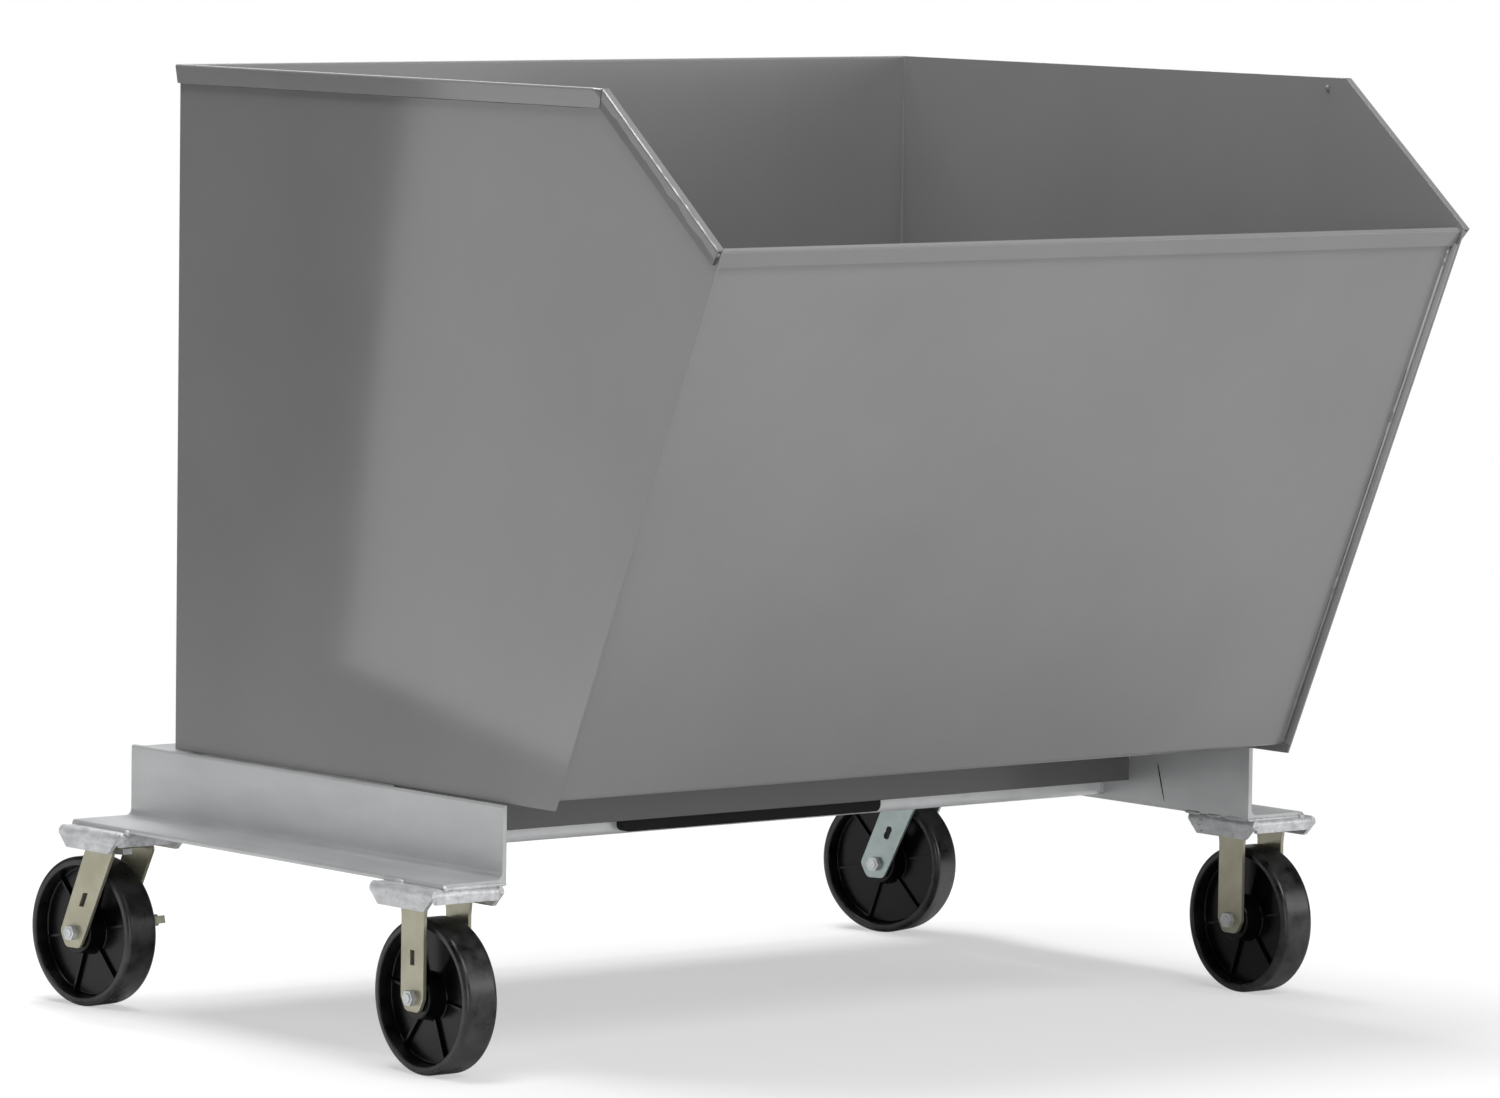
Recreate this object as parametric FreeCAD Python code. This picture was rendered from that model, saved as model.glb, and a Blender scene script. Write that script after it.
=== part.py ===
import FreeCAD
import Part
import math
import os

# Tipping skip trolley: a sheet-steel hopper that tips forward on a galvanised rolling base.
# Millimetres, +Z up, the low pouring lip towards -Y, the origin on the floor under the box centre.

# Wheels and their bearings
WHEEL_DIAMETER = 203.2
WHEEL_WIDTH = 50.8
TREAD_ROUND = 7.0
RING_WIDTH = 12.0
WEB_SHEET = 11.0
RIB_COUNT = 6
RIB_SHEET = 3.5
RIB_HEIGHT = 5.0
RIB_ROOT = 4.0
RIB_TURN = 19.0
RIB_TURN_FRONT_LEFT = 38.0
MOULD_ROUND = 2.0
HUB_DIAMETER = 60.0
HUB_LENGTH = 62.0
SLEEVE_DIAMETER = 28.6
TUBE_DIAMETER = 19.0
AXLE_DIAMETER = 12.7
RUNNING_FIT = 0.05
BOLT_PLAY = 0.2

# Caster forks, folded from plate
HUB_PLAY = 2.0
LEG_SHEET = 5.0
FOLD_ROUND = 9.0
HEAD_ROOM = 17.15
CROWN_SHEET = 6.0
RACE_HEIGHT = 8.6
PLATE_SHEET = 6.35
PLATE_WIDTH = 95.25
PLATE_LENGTH = 115.0
PLATE_ROUND = 8.0
RIGID_LEG_WIDTH = 48.0
RIGID_LEG_FLARE = 4.0
RIGID_LEG_DROP = 18.0
RIGID_KNEE_DROP = 28.6
SWIVEL_LEG_WIDTH = 50.0
SWIVEL_CROWN_WIDTH = 56.0
SWIVEL_LEG_DROP = 20.5
LEG_TOE = 14.0
LEG_ROUND = 10.0
TRAIL = 57.0
SLOT_WIDTH = 9.5
SLOT_LENGTH = 19.0
SLOT_RISE = 42.5
RAKED_SLOT_RISE = 37.0
NUT_FLATS = 19.0
NUT_HEIGHT = 8.0
HEAD_HEIGHT = 8.0
BOLT_TIP = 1.2
KINGPIN_DIAMETER = 15.9
KINGPIN_HEAD = 26.0
KINGPIN_NUT_FLATS = 24.0
KINGPIN_NUT_HEIGHT = 9.0
SEAT_GAP = 0.3
BALL_DIAMETER = 9.5
BALL_COUNT = 14
BALL_CIRCLE = 46.0
GROOVE_PLAY = 0.15

# Rest directions of the two swivel casters, in degrees
SWING_LEFT = 7.0
SWING_RIGHT = 17.0

# Brake lever on the rear left axle
CAM_DIAMETER = 36.0
CAM_SHEET = 3.0
BRAKE_SHEET = 5.5
BRAKE_ARM = 80.0
BRAKE_WIDTH = 16.0
BRAKE_RISE = 13.0
BRAKE_TAB = 12.0

# Folded caster pads under the rail ends
PAD_SHEET = 6.35
PAD_WIDTH = 116.0
PAD_LENGTH = 134.0
PAD_DEPTH = 28.6
PAD_END_DEPTH = 19.0
PAD_BEND = 9.0
PAD_BEVEL = 18.0
PAD_CORNER_GAP = 8.0
PAD_OVERHANG = 4.0

# Rails, rolled equal angle
RAIL_SIZE = 101.6
RAIL_SHEET = 6.35
RAIL_ROOT = 9.0
RAIL_TOE = 3.5
RAIL_LENGTH = 834.0
RAIL_REAR = 82.4
RAIL_GAP = 8.2
PAD_OFFSET = 63.8

# Cross members of the base
REAR_ANGLE_BACK = 64.0
BEAM_SIZE = 50.8
BEAM_SHEET = 4.8
BEAM_ROUND = 8.0
BEAM_LIFT = 5.8
BEAM_BEHIND = 37.3
BUFFER_LENGTH = 446.0
BUFFER_HEIGHT = 40.0
BUFFER_DEPTH = 15.0
BUFFER_LIFT = 4.8
BUFFER_ROUND = 9.0
REST_DIAMETER = 34.0
REST_SPACING = 900.0
REST_INSET = 19.0

# Pivot under the hopper
PIVOT_SETBACK = 484.0
PIVOT_RISE = 67.35
SHAFT_DIAMETER = 22.2
BUSH_WALL = 2.0
BOSS_DIAMETER = 34.0
BOSS_LENGTH = 32.0
BUSH_FLANGE = 3.0
SHAFT_END_GAP = 4.0
LUG_SHEET = 12.0
LUG_GAP = 9.0
LUG_RADIUS = 21.0
LUG_ROUND = 12.0
LUG_LENGTH = 62.0
APRON_AHEAD = 22.0
APRON_SHEET = 3.5
APRON_DROP = 70.25
APRON_END_GAP = 3.2
APRON_FLANGE = 60.0
APRON_BEND = 6.0

# Hopper sheet
HOPPER_WIDTH = 1260.0
HOPPER_SHEET = 3.0
HOPPER_LIFT = 1.0
HOPPER_HEIGHT = 922.0
LIP_HEIGHT = 731.0
BOTTOM_LENGTH = 840.5
RIM_LENGTH = 932.5
LIP_REACH = 1168.5
FLOOR_RISE = 11.0
FRONT_INSET = 12.0
LIP_SET = 5.0
SHEET_BEND = 8.0
BEND_MARGIN = 6.0
RIM_OUT = 8.6
RIM_SKIRT = 25.0
RIM_LEAN = 4.0
RIM_ROUND = 2.5
MITRE_GAP = 1.5

# Tip latch at the back
LATCH_PLATE_WIDTH = 60.0
LATCH_PLATE_LENGTH = 44.0
LATCH_PLATE_SHEET = 6.0
EAR_SHEET = 8.0
EAR_WIDTH = 34.0
EAR_ROUND = 16.0
LATCH_PIN_DIAMETER = 16.0
LATCH_PIN_HEAD = 24.0
LATCH_PIN_HEAD_HEIGHT = 6.0
LATCH_PIN_RISE = 36.0
LATCH_PIN_BACK = 40.0
LEVER_SHEET = 12.0
LEVER_PLAY = 0.5
LEVER_BOSS = 32.0
LEVER_LENGTH = 205.0
LEVER_WIDTH = 22.0
LEVER_OPEN = 28.0
HOOK_WIDTH = 15.0
HOOK_REACH = 12.0
HOOK_PLAY = 1.5
KEEPER_PIN_DIAMETER = 14.0
KEEPER_RISE = 51.0
KEEPER_BACK = 22.0
KEEPER_SPAN = 40.0
KEEPER_SHEET = 6.0
KEEPER_MARGIN = 9.0
GRIP_LENGTH = 95.0
GRIP_WIDTH = 32.0
GRIP_SHEET = 24.0
GRIP_ROUND = 10.5

# Where the hopper's back face stands behind the origin
HOPPER_BACK_Y = 494.7

# Levels and planes that follow from the sizes
AXLE_Z = WHEEL_DIAMETER / 2
CROWN_Z = WHEEL_DIAMETER + HEAD_ROOM
RACE_Z = CROWN_Z + CROWN_SHEET
PLATE_Z = RACE_Z + RACE_HEIGHT
PAD_Z = PLATE_Z + PLATE_SHEET
RAIL_Z = PAD_Z + PAD_SHEET
RAIL_TOP_Z = RAIL_Z + RAIL_SIZE
HOPPER_Z = RAIL_TOP_Z + HOPPER_LIFT
FLOOR_Z = HOPPER_Z + FLOOR_RISE
RIM_Z = HOPPER_Z + HOPPER_HEIGHT
LIP_Z = HOPPER_Z + LIP_HEIGHT
HALF_WIDTH = HOPPER_WIDTH / 2
HALF_INSIDE = HALF_WIDTH - HOPPER_SHEET
RAIL_X = HALF_WIDTH + RAIL_GAP
CASTER_X = RAIL_X + PAD_OFFSET
RAIL_REAR_Y = HOPPER_BACK_Y + RAIL_REAR
RAIL_FRONT_Y = RAIL_REAR_Y - RAIL_LENGTH
FRONT_CASTER_Y = RAIL_FRONT_Y - PAD_OVERHANG + PAD_LENGTH / 2
REAR_CASTER_Y = RAIL_REAR_Y + PAD_OVERHANG - PAD_LENGTH / 2
PIVOT_Y = HOPPER_BACK_Y - PIVOT_SETBACK
PIVOT_Z = RAIL_Z + PIVOT_RISE
LATCH_PIN_Y = HOPPER_BACK_Y + LATCH_PIN_BACK
LATCH_PIN_Z = RAIL_TOP_Z + LATCH_PIN_RISE
LEG_IN = HUB_LENGTH / 2 + HUB_PLAY
LEG_OUT = LEG_IN + LEG_SHEET


def at(x, y, z):
    return FreeCAD.Vector(x, y, z)


def closed_wire(corners):
    """A closed wire through (point, radius) corners, each turned by an arc that touches both sides."""
    spans = []
    for index, (point, radius) in enumerate(corners):
        before = (corners[index - 1][0] - point).normalize()
        after = (corners[(index + 1) % len(corners)][0] - point).normalize()
        half = before.getAngle(after) / 2
        run = radius / math.tan(half)
        middle = (before + after).normalize() * (radius / math.sin(half) - radius)
        spans.append((point + before * run, point + middle, point + after * run, radius))
    edges = []
    for index, (enter, middle, leave, radius) in enumerate(spans):
        if radius > 0:
            edges.append(Part.Arc(enter, middle, leave).toShape())
        following = spans[(index + 1) % len(spans)][0]
        edges.append(Part.LineSegment(leave, following).toShape())
    return Part.Wire(edges)


def section(axis, start, rows):
    """A flat face across one axis, from rows of two coordinates and an optional corner radius."""
    spot = {
        "x": lambda a, b: at(start, a, b),
        "y": lambda a, b: at(a, start, b),
        "z": lambda a, b: at(a, b, start),
    }[axis]
    return Part.Face(closed_wire([(spot(row[0], row[1]), row[2] if len(row) > 2 else 0) for row in rows]))


def swept(axis, start, end, rows):
    """A section carried straight along its axis."""
    run = end - start
    along = {"x": at(run, 0, 0), "y": at(0, run, 0), "z": at(0, 0, run)}[axis]
    return section(axis, start, rows).extrude(along)


def block(x, y, z):
    """A box between three pairs of low and high values."""
    return Part.makeBox(x[1] - x[0], y[1] - y[0], z[1] - z[0], at(x[0], y[0], z[0]))


def rod(axis, radius, start, end, a, b):
    """A round bar along one axis, through the other two coordinates in order."""
    spot, along = {
        "x": (at(start, a, b), at(1, 0, 0)),
        "y": (at(a, start, b), at(0, 1, 0)),
        "z": (at(a, b, start), at(0, 0, 1)),
    }[axis]
    return Part.makeCylinder(radius, end - start, spot, along)


def hexagon(axis, flats, start, end, a, b):
    """A hexagonal prism along one axis."""
    reach = flats / math.sqrt(3)
    turns = [math.radians(60 * index) for index in range(6)]
    return swept(axis, start, end, [(a + reach * math.cos(t), b + reach * math.sin(t)) for t in turns])


def mirrored(shape):
    """The other hand of a piece, across the middle plane."""
    return shape.mirror(at(0, 0, 0), at(1, 0, 0))


def group(solids):
    """Separate like solids under one name."""
    return Part.makeCompound(solids)


def moved(shape, x, y, swing=0.0):
    """A caster piece turned about its own upright axis and set under its pad."""
    return shape.rotated(at(0, 0, 0), at(0, 0, 1), swing).translated(at(x, y, 0))


# Rails: equal angle with a rolled root and rounded toes, one flange out at the bottom
def rail():
    inner, outer = RAIL_X, RAIL_X + RAIL_SIZE
    return swept("y", RAIL_FRONT_Y, RAIL_REAR_Y, [
        (inner, RAIL_Z),
        (outer, RAIL_Z),
        (outer, RAIL_Z + RAIL_SHEET, RAIL_TOE),
        (inner + RAIL_SHEET, RAIL_Z + RAIL_SHEET, RAIL_ROOT),
        (inner + RAIL_SHEET, RAIL_TOP_Z, RAIL_TOE),
        (inner, RAIL_TOP_Z),
    ])


# Rear cross angle: the same angle with its heel up and back, so that its top carries the hopper
def rear_cross_angle():
    back = HOPPER_BACK_Y + REAR_ANGLE_BACK
    front = back - RAIL_SIZE
    return swept("x", -RAIL_X, RAIL_X, [
        (back, RAIL_TOP_Z),
        (front, RAIL_TOP_Z),
        (front, RAIL_TOP_Z - RAIL_SHEET, RAIL_TOE),
        (back - RAIL_SHEET, RAIL_TOP_Z - RAIL_SHEET, RAIL_ROOT),
        (back - RAIL_SHEET, RAIL_Z, RAIL_TOE),
        (back, RAIL_Z),
    ])


# Cross beam: square tube welded between the rails, close behind the pivot
def beam_ring(inset):
    front = PIVOT_Y + BEAM_BEHIND + inset
    back = PIVOT_Y + BEAM_BEHIND + BEAM_SIZE - inset
    low = RAIL_Z + BEAM_LIFT + inset
    high = RAIL_Z + BEAM_LIFT + BEAM_SIZE - inset
    turn = BEAM_ROUND - inset
    return [(front, low, turn), (back, low, turn), (back, high, turn), (front, high, turn)]


def cross_beam():
    outer = swept("x", -RAIL_X, RAIL_X, beam_ring(0))
    return outer.cut(swept("x", -RAIL_X, RAIL_X, beam_ring(BEAM_SHEET)))


# Tip buffer: a rubber bar on the front of the cross beam that stops the pivot apron
def tip_buffer():
    back = PIVOT_Y + BEAM_BEHIND
    low = RAIL_Z + BEAM_LIFT + BUFFER_LIFT
    half = BUFFER_LENGTH / 2
    return swept("y", back - BUFFER_DEPTH, back, [
        (-half, low, BUFFER_ROUND),
        (half, low, BUFFER_ROUND),
        (half, low + BUFFER_HEIGHT, BUFFER_ROUND),
        (-half, low + BUFFER_HEIGHT, BUFFER_ROUND),
    ])


# Rests: rubber discs on the rear angle that the hopper's floor lies on
def floor_rests():
    spots = (-REST_SPACING / 2, REST_SPACING / 2)
    top = FLOOR_Z - SEAT_GAP
    y = HOPPER_BACK_Y - REST_INSET
    return group([rod("z", REST_DIAMETER / 2, RAIL_TOP_Z, top, x, y) for x in spots])


# Caster pad: an inverted tray with deep sides, shallow ends and open corners
def caster_pad():
    half, end, top = PAD_WIDTH / 2, PAD_LENGTH / 2, RAIL_Z
    low = top - PAD_DEPTH
    bend_in = PAD_BEND - PAD_SHEET
    tray = swept("y", -end, end, [
        (-half, low),
        (-half, top, PAD_BEND),
        (half, top, PAD_BEND),
        (half, low),
        (half - PAD_SHEET, low),
        (half - PAD_SHEET, PAD_Z, bend_in),
        (-half + PAD_SHEET, PAD_Z, bend_in),
        (-half + PAD_SHEET, low),
    ])
    inner = half - PAD_CORNER_GAP
    root = end - PAD_BEND - PAD_SHEET
    for side in (-1, 1):
        bevel = [(side * end, low), (side * (end - PAD_BEVEL), low), (side * end, low + PAD_BEVEL)]
        tray = tray.cut(swept("x", -half, half, bevel))
        tray = tray.cut(block((-inner, inner), sorted((side * root, side * end)), (low, top)))
        tray = tray.fuse(swept("x", -inner, inner, [
            (side * root, top),
            (side * end, top, PAD_BEND),
            (side * end, top - PAD_END_DEPTH),
            (side * (end - PAD_SHEET), top - PAD_END_DEPTH),
            (side * (end - PAD_SHEET), PAD_Z, bend_in),
            (side * root, PAD_Z),
        ]))
    return tray.removeSplitter()


# Wheel: one moulding with a rounded tread, a web with low radial ribs on both faces and a long hub
def wheel(turn):
    """A wheel stopped with one rib at an angle from upright."""
    radius, half, hub, web = WHEEL_DIAMETER / 2, WHEEL_WIDTH / 2, HUB_LENGTH / 2, WEB_SHEET / 2
    ring, boss, bore = radius - RING_WIDTH, HUB_DIAMETER / 2, SLEEVE_DIAMETER / 2
    right = [
        (half, radius, TREAD_ROUND),
        (half, ring, MOULD_ROUND),
        (web, ring - MOULD_ROUND, MOULD_ROUND),
        (web, boss + MOULD_ROUND, MOULD_ROUND),
        (hub, boss - MOULD_ROUND, MOULD_ROUND),
        (hub, bore),
    ]
    left = [(-x, *rest) for x, *rest in reversed(right)]
    body = section("z", 0, right + left).revolve(at(0, 0, 0), at(1, 0, 0), 360)
    crest = web + RIB_HEIGHT
    ribs = []
    for index in range(RIB_COUNT):
        rib = block((-crest, crest), (-RIB_SHEET / 2, RIB_SHEET / 2), (boss - RIB_ROOT, ring + RIB_ROOT))
        ribs.append(rib.rotated(at(0, 0, 0), at(1, 0, 0), turn + 360 * index / RIB_COUNT))
    return body.fuse(ribs).removeSplitter()


def bearing_sleeve():
    outer = rod("x", SLEEVE_DIAMETER / 2, -HUB_LENGTH / 2, HUB_LENGTH / 2, 0, 0)
    return outer.cut(rod("x", TUBE_DIAMETER / 2 + RUNNING_FIT, -HUB_LENGTH / 2, HUB_LENGTH / 2, 0, 0))


def axle_tube():
    outer = rod("x", TUBE_DIAMETER / 2, -LEG_IN, LEG_IN, 0, 0)
    return outer.cut(rod("x", AXLE_DIAMETER / 2 + BOLT_PLAY, -LEG_IN, LEG_IN, 0, 0))


def axle_bolt(head_seat):
    """A hexagon bolt from its head's seat to its tip past the nut."""
    shank = rod("x", AXLE_DIAMETER / 2, -LEG_OUT - NUT_HEIGHT - BOLT_TIP, head_seat, 0, 0)
    return shank.fuse(hexagon("x", NUT_FLATS, head_seat, head_seat + HEAD_HEIGHT, 0, 0))


def axle_nut():
    nut = hexagon("x", NUT_FLATS, -LEG_OUT - NUT_HEIGHT, -LEG_OUT, 0, 0)
    return nut.cut(rod("x", AXLE_DIAMETER / 2, -LEG_OUT - NUT_HEIGHT, -LEG_OUT, 0, 0))


def on_axle(shape, trail=0.0):
    """A piece of the wheel's own axis, lifted to the axle."""
    return shape.translated(at(0, trail, AXLE_Z))


def plate_outline():
    half, end = PLATE_WIDTH / 2, PLATE_LENGTH / 2
    turn = PLATE_ROUND
    return [(-half, -end, turn), (half, -end, turn), (half, end, turn), (-half, end, turn)]


# Rigid fork: a top plate welded over two straight legs folded from one strap
def rigid_fork(slotted):
    width, foot = RIGID_LEG_WIDTH / 2, AXLE_Z - RIGID_LEG_DROP
    wide = width + RIGID_LEG_FLARE
    strap = swept("y", -wide, wide, [
        (-LEG_OUT, foot),
        (-LEG_OUT, PLATE_Z, FOLD_ROUND),
        (LEG_OUT, PLATE_Z, FOLD_ROUND),
        (LEG_OUT, foot),
        (LEG_IN, foot),
        (LEG_IN, PLATE_Z - LEG_SHEET, FOLD_ROUND - LEG_SHEET),
        (-LEG_IN, PLATE_Z - LEG_SHEET, FOLD_ROUND - LEG_SHEET),
        (-LEG_IN, foot),
    ])
    knee = PLATE_Z - RIGID_KNEE_DROP
    silhouette = swept("x", -LEG_OUT, LEG_OUT, [
        (-wide, PLATE_Z),
        (-width, knee, LEG_ROUND),
        (-width, AXLE_Z, LEG_ROUND),
        (-LEG_TOE, foot, LEG_ROUND),
        (LEG_TOE, foot, LEG_ROUND),
        (width, AXLE_Z, LEG_ROUND),
        (width, knee, LEG_ROUND),
        (wide, PLATE_Z),
    ])
    rise = AXLE_Z + SLOT_RISE
    slot = block((-LEG_OUT, LEG_OUT), (-SLOT_WIDTH / 2, SLOT_WIDTH / 2), (rise, rise + SLOT_LENGTH))
    legs = strap.common(silhouette)
    if slotted:
        legs = legs.cut(slot)
    legs = legs.cut(rod("x", AXLE_DIAMETER / 2 + BOLT_PLAY, -LEG_OUT, LEG_OUT, 0, AXLE_Z))
    return legs.fuse(swept("z", PLATE_Z, PAD_Z, plate_outline())).removeSplitter()


# Swivel fork: crown and two raked legs folded from one strap, with a ball groove in the crown
def leg_middle(z):
    """How far back the raked legs' middle line stands at one height."""
    return TRAIL * (RACE_Z - z) / (RACE_Z - AXLE_Z)


def raked_slot(z_low, z_high, round_ends):
    """A slot that follows the rake, with square or round ends."""
    half = SLOT_WIDTH / 2
    if round_ends:
        z_low, z_high = z_low + half, z_high - half
    low, high = leg_middle(z_low), leg_middle(z_high)
    slot = swept("x", -LEG_OUT, LEG_OUT, [
        (low - half, z_low),
        (low + half, z_low),
        (high + half, z_high),
        (high - half, z_high),
    ])
    if round_ends:
        ends = [rod("x", half, -LEG_OUT, LEG_OUT, y, z) for y, z in ((low, z_low), (high, z_high))]
        slot = slot.fuse(ends)
    return slot


def swivel_fork(round_slots):
    crown, half, foot = SWIVEL_CROWN_WIDTH / 2, SWIVEL_LEG_WIDTH / 2, AXLE_Z - SWIVEL_LEG_DROP
    strap = swept("y", -crown, TRAIL + half, [
        (-LEG_OUT, foot),
        (-LEG_OUT, RACE_Z, FOLD_ROUND),
        (LEG_OUT, RACE_Z, FOLD_ROUND),
        (LEG_OUT, foot),
        (LEG_IN, foot),
        (LEG_IN, CROWN_Z, FOLD_ROUND - LEG_SHEET),
        (-LEG_IN, CROWN_Z, FOLD_ROUND - LEG_SHEET),
        (-LEG_IN, foot),
    ])
    silhouette = swept("x", -LEG_OUT, LEG_OUT, [
        (-crown, RACE_Z, LEG_ROUND),
        (TRAIL - half, AXLE_Z, LEG_ROUND),
        (TRAIL - LEG_TOE, foot, LEG_ROUND),
        (TRAIL + LEG_TOE, foot, LEG_ROUND),
        (TRAIL + half, AXLE_Z, LEG_ROUND),
        (crown, RACE_Z, LEG_ROUND),
    ])
    rise = AXLE_Z + RAKED_SLOT_RISE
    fork = strap.common(silhouette).cut(raked_slot(rise, rise + SLOT_LENGTH, round_slots))
    fork = fork.cut(rod("x", AXLE_DIAMETER / 2 + BOLT_PLAY, -LEG_OUT, LEG_OUT, TRAIL, AXLE_Z))
    fork = fork.cut(rod("z", KINGPIN_DIAMETER / 2 + RUNNING_FIT, CROWN_Z, RACE_Z, 0, 0))
    return fork.cut(ball_groove())


def ball_level():
    return RACE_Z + RACE_HEIGHT / 2


def ball_groove():
    return Part.makeTorus(BALL_CIRCLE / 2, BALL_DIAMETER / 2 + GROOVE_PLAY, at(0, 0, ball_level()))


def swivel_balls():
    """The ring of loose balls between the plate's and the crown's grooves."""
    spot = at(BALL_CIRCLE / 2, 0, ball_level())
    first = Part.makeSphere(BALL_DIAMETER / 2, spot)
    turns = [360 * index / BALL_COUNT for index in range(BALL_COUNT)]
    return group([first.rotated(at(0, 0, 0), at(0, 0, 1), turn) for turn in turns])


def kingpin():
    """A countersunk pin whose head lies flush in the top plate."""
    radius, head = KINGPIN_DIAMETER / 2, KINGPIN_HEAD / 2
    tip = CROWN_Z - SEAT_GAP - KINGPIN_NUT_HEIGHT
    cone = Part.makeCone(radius, head, head - radius, at(0, 0, PAD_Z - head + radius))
    return rod("z", radius, tip, PAD_Z, 0, 0).fuse(cone).removeSplitter()


def kingpin_nut():
    top = CROWN_Z - SEAT_GAP
    nut = hexagon("z", KINGPIN_NUT_FLATS, top - KINGPIN_NUT_HEIGHT, top, 0, 0)
    return nut.cut(rod("z", KINGPIN_DIAMETER / 2, top - KINGPIN_NUT_HEIGHT, top, 0, 0))


def swivel_plate():
    return swept("z", PLATE_Z, PAD_Z, plate_outline()).cut(ball_groove()).cut(kingpin())


# Brake: a foot lever whose cam ring squeezes the fork legs on the hub
def brake_cam():
    outer = rod("x", CAM_DIAMETER / 2, LEG_OUT, LEG_OUT + CAM_SHEET, TRAIL, AXLE_Z)
    return outer.cut(rod("x", AXLE_DIAMETER / 2 + BOLT_PLAY, LEG_OUT, LEG_OUT + CAM_SHEET, TRAIL, AXLE_Z))


def brake_seat():
    """Where the lever lies outside the cam ring."""
    return LEG_OUT + CAM_SHEET + SEAT_GAP


def brake_lever():
    near, far, half = brake_seat(), brake_seat() + BRAKE_SHEET, BRAKE_WIDTH / 2
    disc = rod("x", CAM_DIAMETER / 2, near, far, 0, 0)
    tip = BRAKE_SHEET / 2
    arm = swept("x", near, far, [(0, -half), (0, half), (-BRAKE_ARM, half, tip), (-BRAKE_ARM, -half, tip)])
    tab = block((near, far + BRAKE_TAB), (-BRAKE_ARM, -BRAKE_ARM + BRAKE_SHEET), (-half + tip, half - tip))
    lever = disc.fuse([arm, tab]).cut(rod("x", AXLE_DIAMETER / 2 + RUNNING_FIT, near, far, 0, 0))
    return on_axle(lever.removeSplitter().rotated(at(0, 0, 0), at(1, 0, 0), -BRAKE_RISE), TRAIL)


# Pivot: bosses on the rails with flanged bushes, and the shaft that the hopper turns with
def bush_diameter():
    return SHAFT_DIAMETER + 2 * BUSH_WALL


def pivot_boss():
    outer = rod("x", BOSS_DIAMETER / 2, RAIL_X - BOSS_LENGTH, RAIL_X, PIVOT_Y, PIVOT_Z)
    return outer.cut(rod("x", bush_diameter() / 2, RAIL_X - BOSS_LENGTH, RAIL_X, PIVOT_Y, PIVOT_Z))


def pivot_bush():
    inner = RAIL_X - BOSS_LENGTH
    collar = rod("x", BOSS_DIAMETER / 2, inner - BUSH_FLANGE, inner, PIVOT_Y, PIVOT_Z)
    sleeve = rod("x", bush_diameter() / 2, inner - BUSH_FLANGE, RAIL_X, PIVOT_Y, PIVOT_Z)
    bore = rod("x", SHAFT_DIAMETER / 2 + RUNNING_FIT, inner - BUSH_FLANGE, RAIL_X, PIVOT_Y, PIVOT_Z)
    return sleeve.fuse(collar).cut(bore).removeSplitter()


def pivot_shaft():
    end = RAIL_X - SHAFT_END_GAP
    return rod("x", SHAFT_DIAMETER / 2, -end, end, PIVOT_Y, PIVOT_Z)


def apron_front():
    return PIVOT_Y - APRON_AHEAD


def pivot_lugs():
    """Two plates welded under the hopper that hold the shaft."""
    front, top = apron_front() + APRON_SHEET, FLOOR_Z - APRON_SHEET
    low = PIVOT_Z - LUG_RADIUS
    back = PIVOT_Y + LUG_RADIUS
    outer = RAIL_X - BOSS_LENGTH - BUSH_FLANGE - LUG_GAP
    lug = swept("x", outer - LUG_SHEET, outer, [
        (front, top, APRON_BEND - APRON_SHEET + SEAT_GAP),
        (front, low, LUG_ROUND),
        (back, low, LUG_ROUND),
        (back, PIVOT_Z, LUG_ROUND),
        (front + LUG_LENGTH, top),
    ])
    lug = lug.cut(rod("x", SHAFT_DIAMETER / 2, outer - LUG_SHEET, outer, PIVOT_Y, PIVOT_Z))
    return group([lug, mirrored(lug)])


# Pivot channel: an apron plate across the front of the shaft, folded back under the floor
def pivot_channel():
    front = apron_front()
    back, low = front + APRON_SHEET, HOPPER_Z - APRON_DROP
    inside = APRON_BEND - APRON_SHEET
    strip = swept("x", -RAIL_X + APRON_END_GAP, RAIL_X - APRON_END_GAP, [
        (front, low),
        (front, FLOOR_Z, APRON_BEND),
        (front + APRON_FLANGE, FLOOR_Z),
        (front + APRON_FLANGE, FLOOR_Z - APRON_SHEET),
        (back, FLOOR_Z - APRON_SHEET, inside),
        (back, low),
    ])
    notch = block((HALF_INSIDE, RAIL_X), (front, front + APRON_FLANGE), (HOPPER_Z - HOPPER_LIFT, FLOOR_Z))
    return strip.cut([notch, mirrored(notch)])


# Hopper outline: the side panel's corners as (y, z), from the back at the bottom round to the top
def side_corners():
    back = HOPPER_BACK_Y
    return [
        (back, HOPPER_Z),
        (back - BOTTOM_LENGTH, HOPPER_Z),
        (back - LIP_REACH, LIP_Z),
        (back - RIM_LENGTH, RIM_Z),
        (back, RIM_Z),
    ]


def rim_rows():
    """The bent rim's section as (out, up, radius): out from the panel's outer face, up from its top edge."""
    sheet, foot = HOPPER_SHEET, RIM_OUT - RIM_LEAN
    return [
        (0, -sheet),
        (RIM_OUT - sheet, -sheet),
        (foot - sheet, -RIM_SKIRT),
        (foot, -RIM_SKIRT),
        (RIM_OUT, 0, RIM_ROUND),
    ]


def edge_rim(start, end):
    """A rim along one straight edge of the right side panel, from start to end as (y, z)."""
    run = at(0, end[0] - start[0], end[1] - start[1])
    along = at(0, run.y, run.z).normalize()
    up = at(0, along.z, -along.y)
    origin = at(HALF_WIDTH, start[0], start[1])
    inner = [(-HOPPER_SHEET, 0), (-HOPPER_SHEET, -HOPPER_SHEET)]
    corners = []
    for row in inner + rim_rows()[1:]:
        corners.append((origin + at(row[0], 0, 0) + up * row[1], row[2] if len(row) > 2 else 0))
    return Part.Face(closed_wire(corners)).extrude(run)


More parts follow.
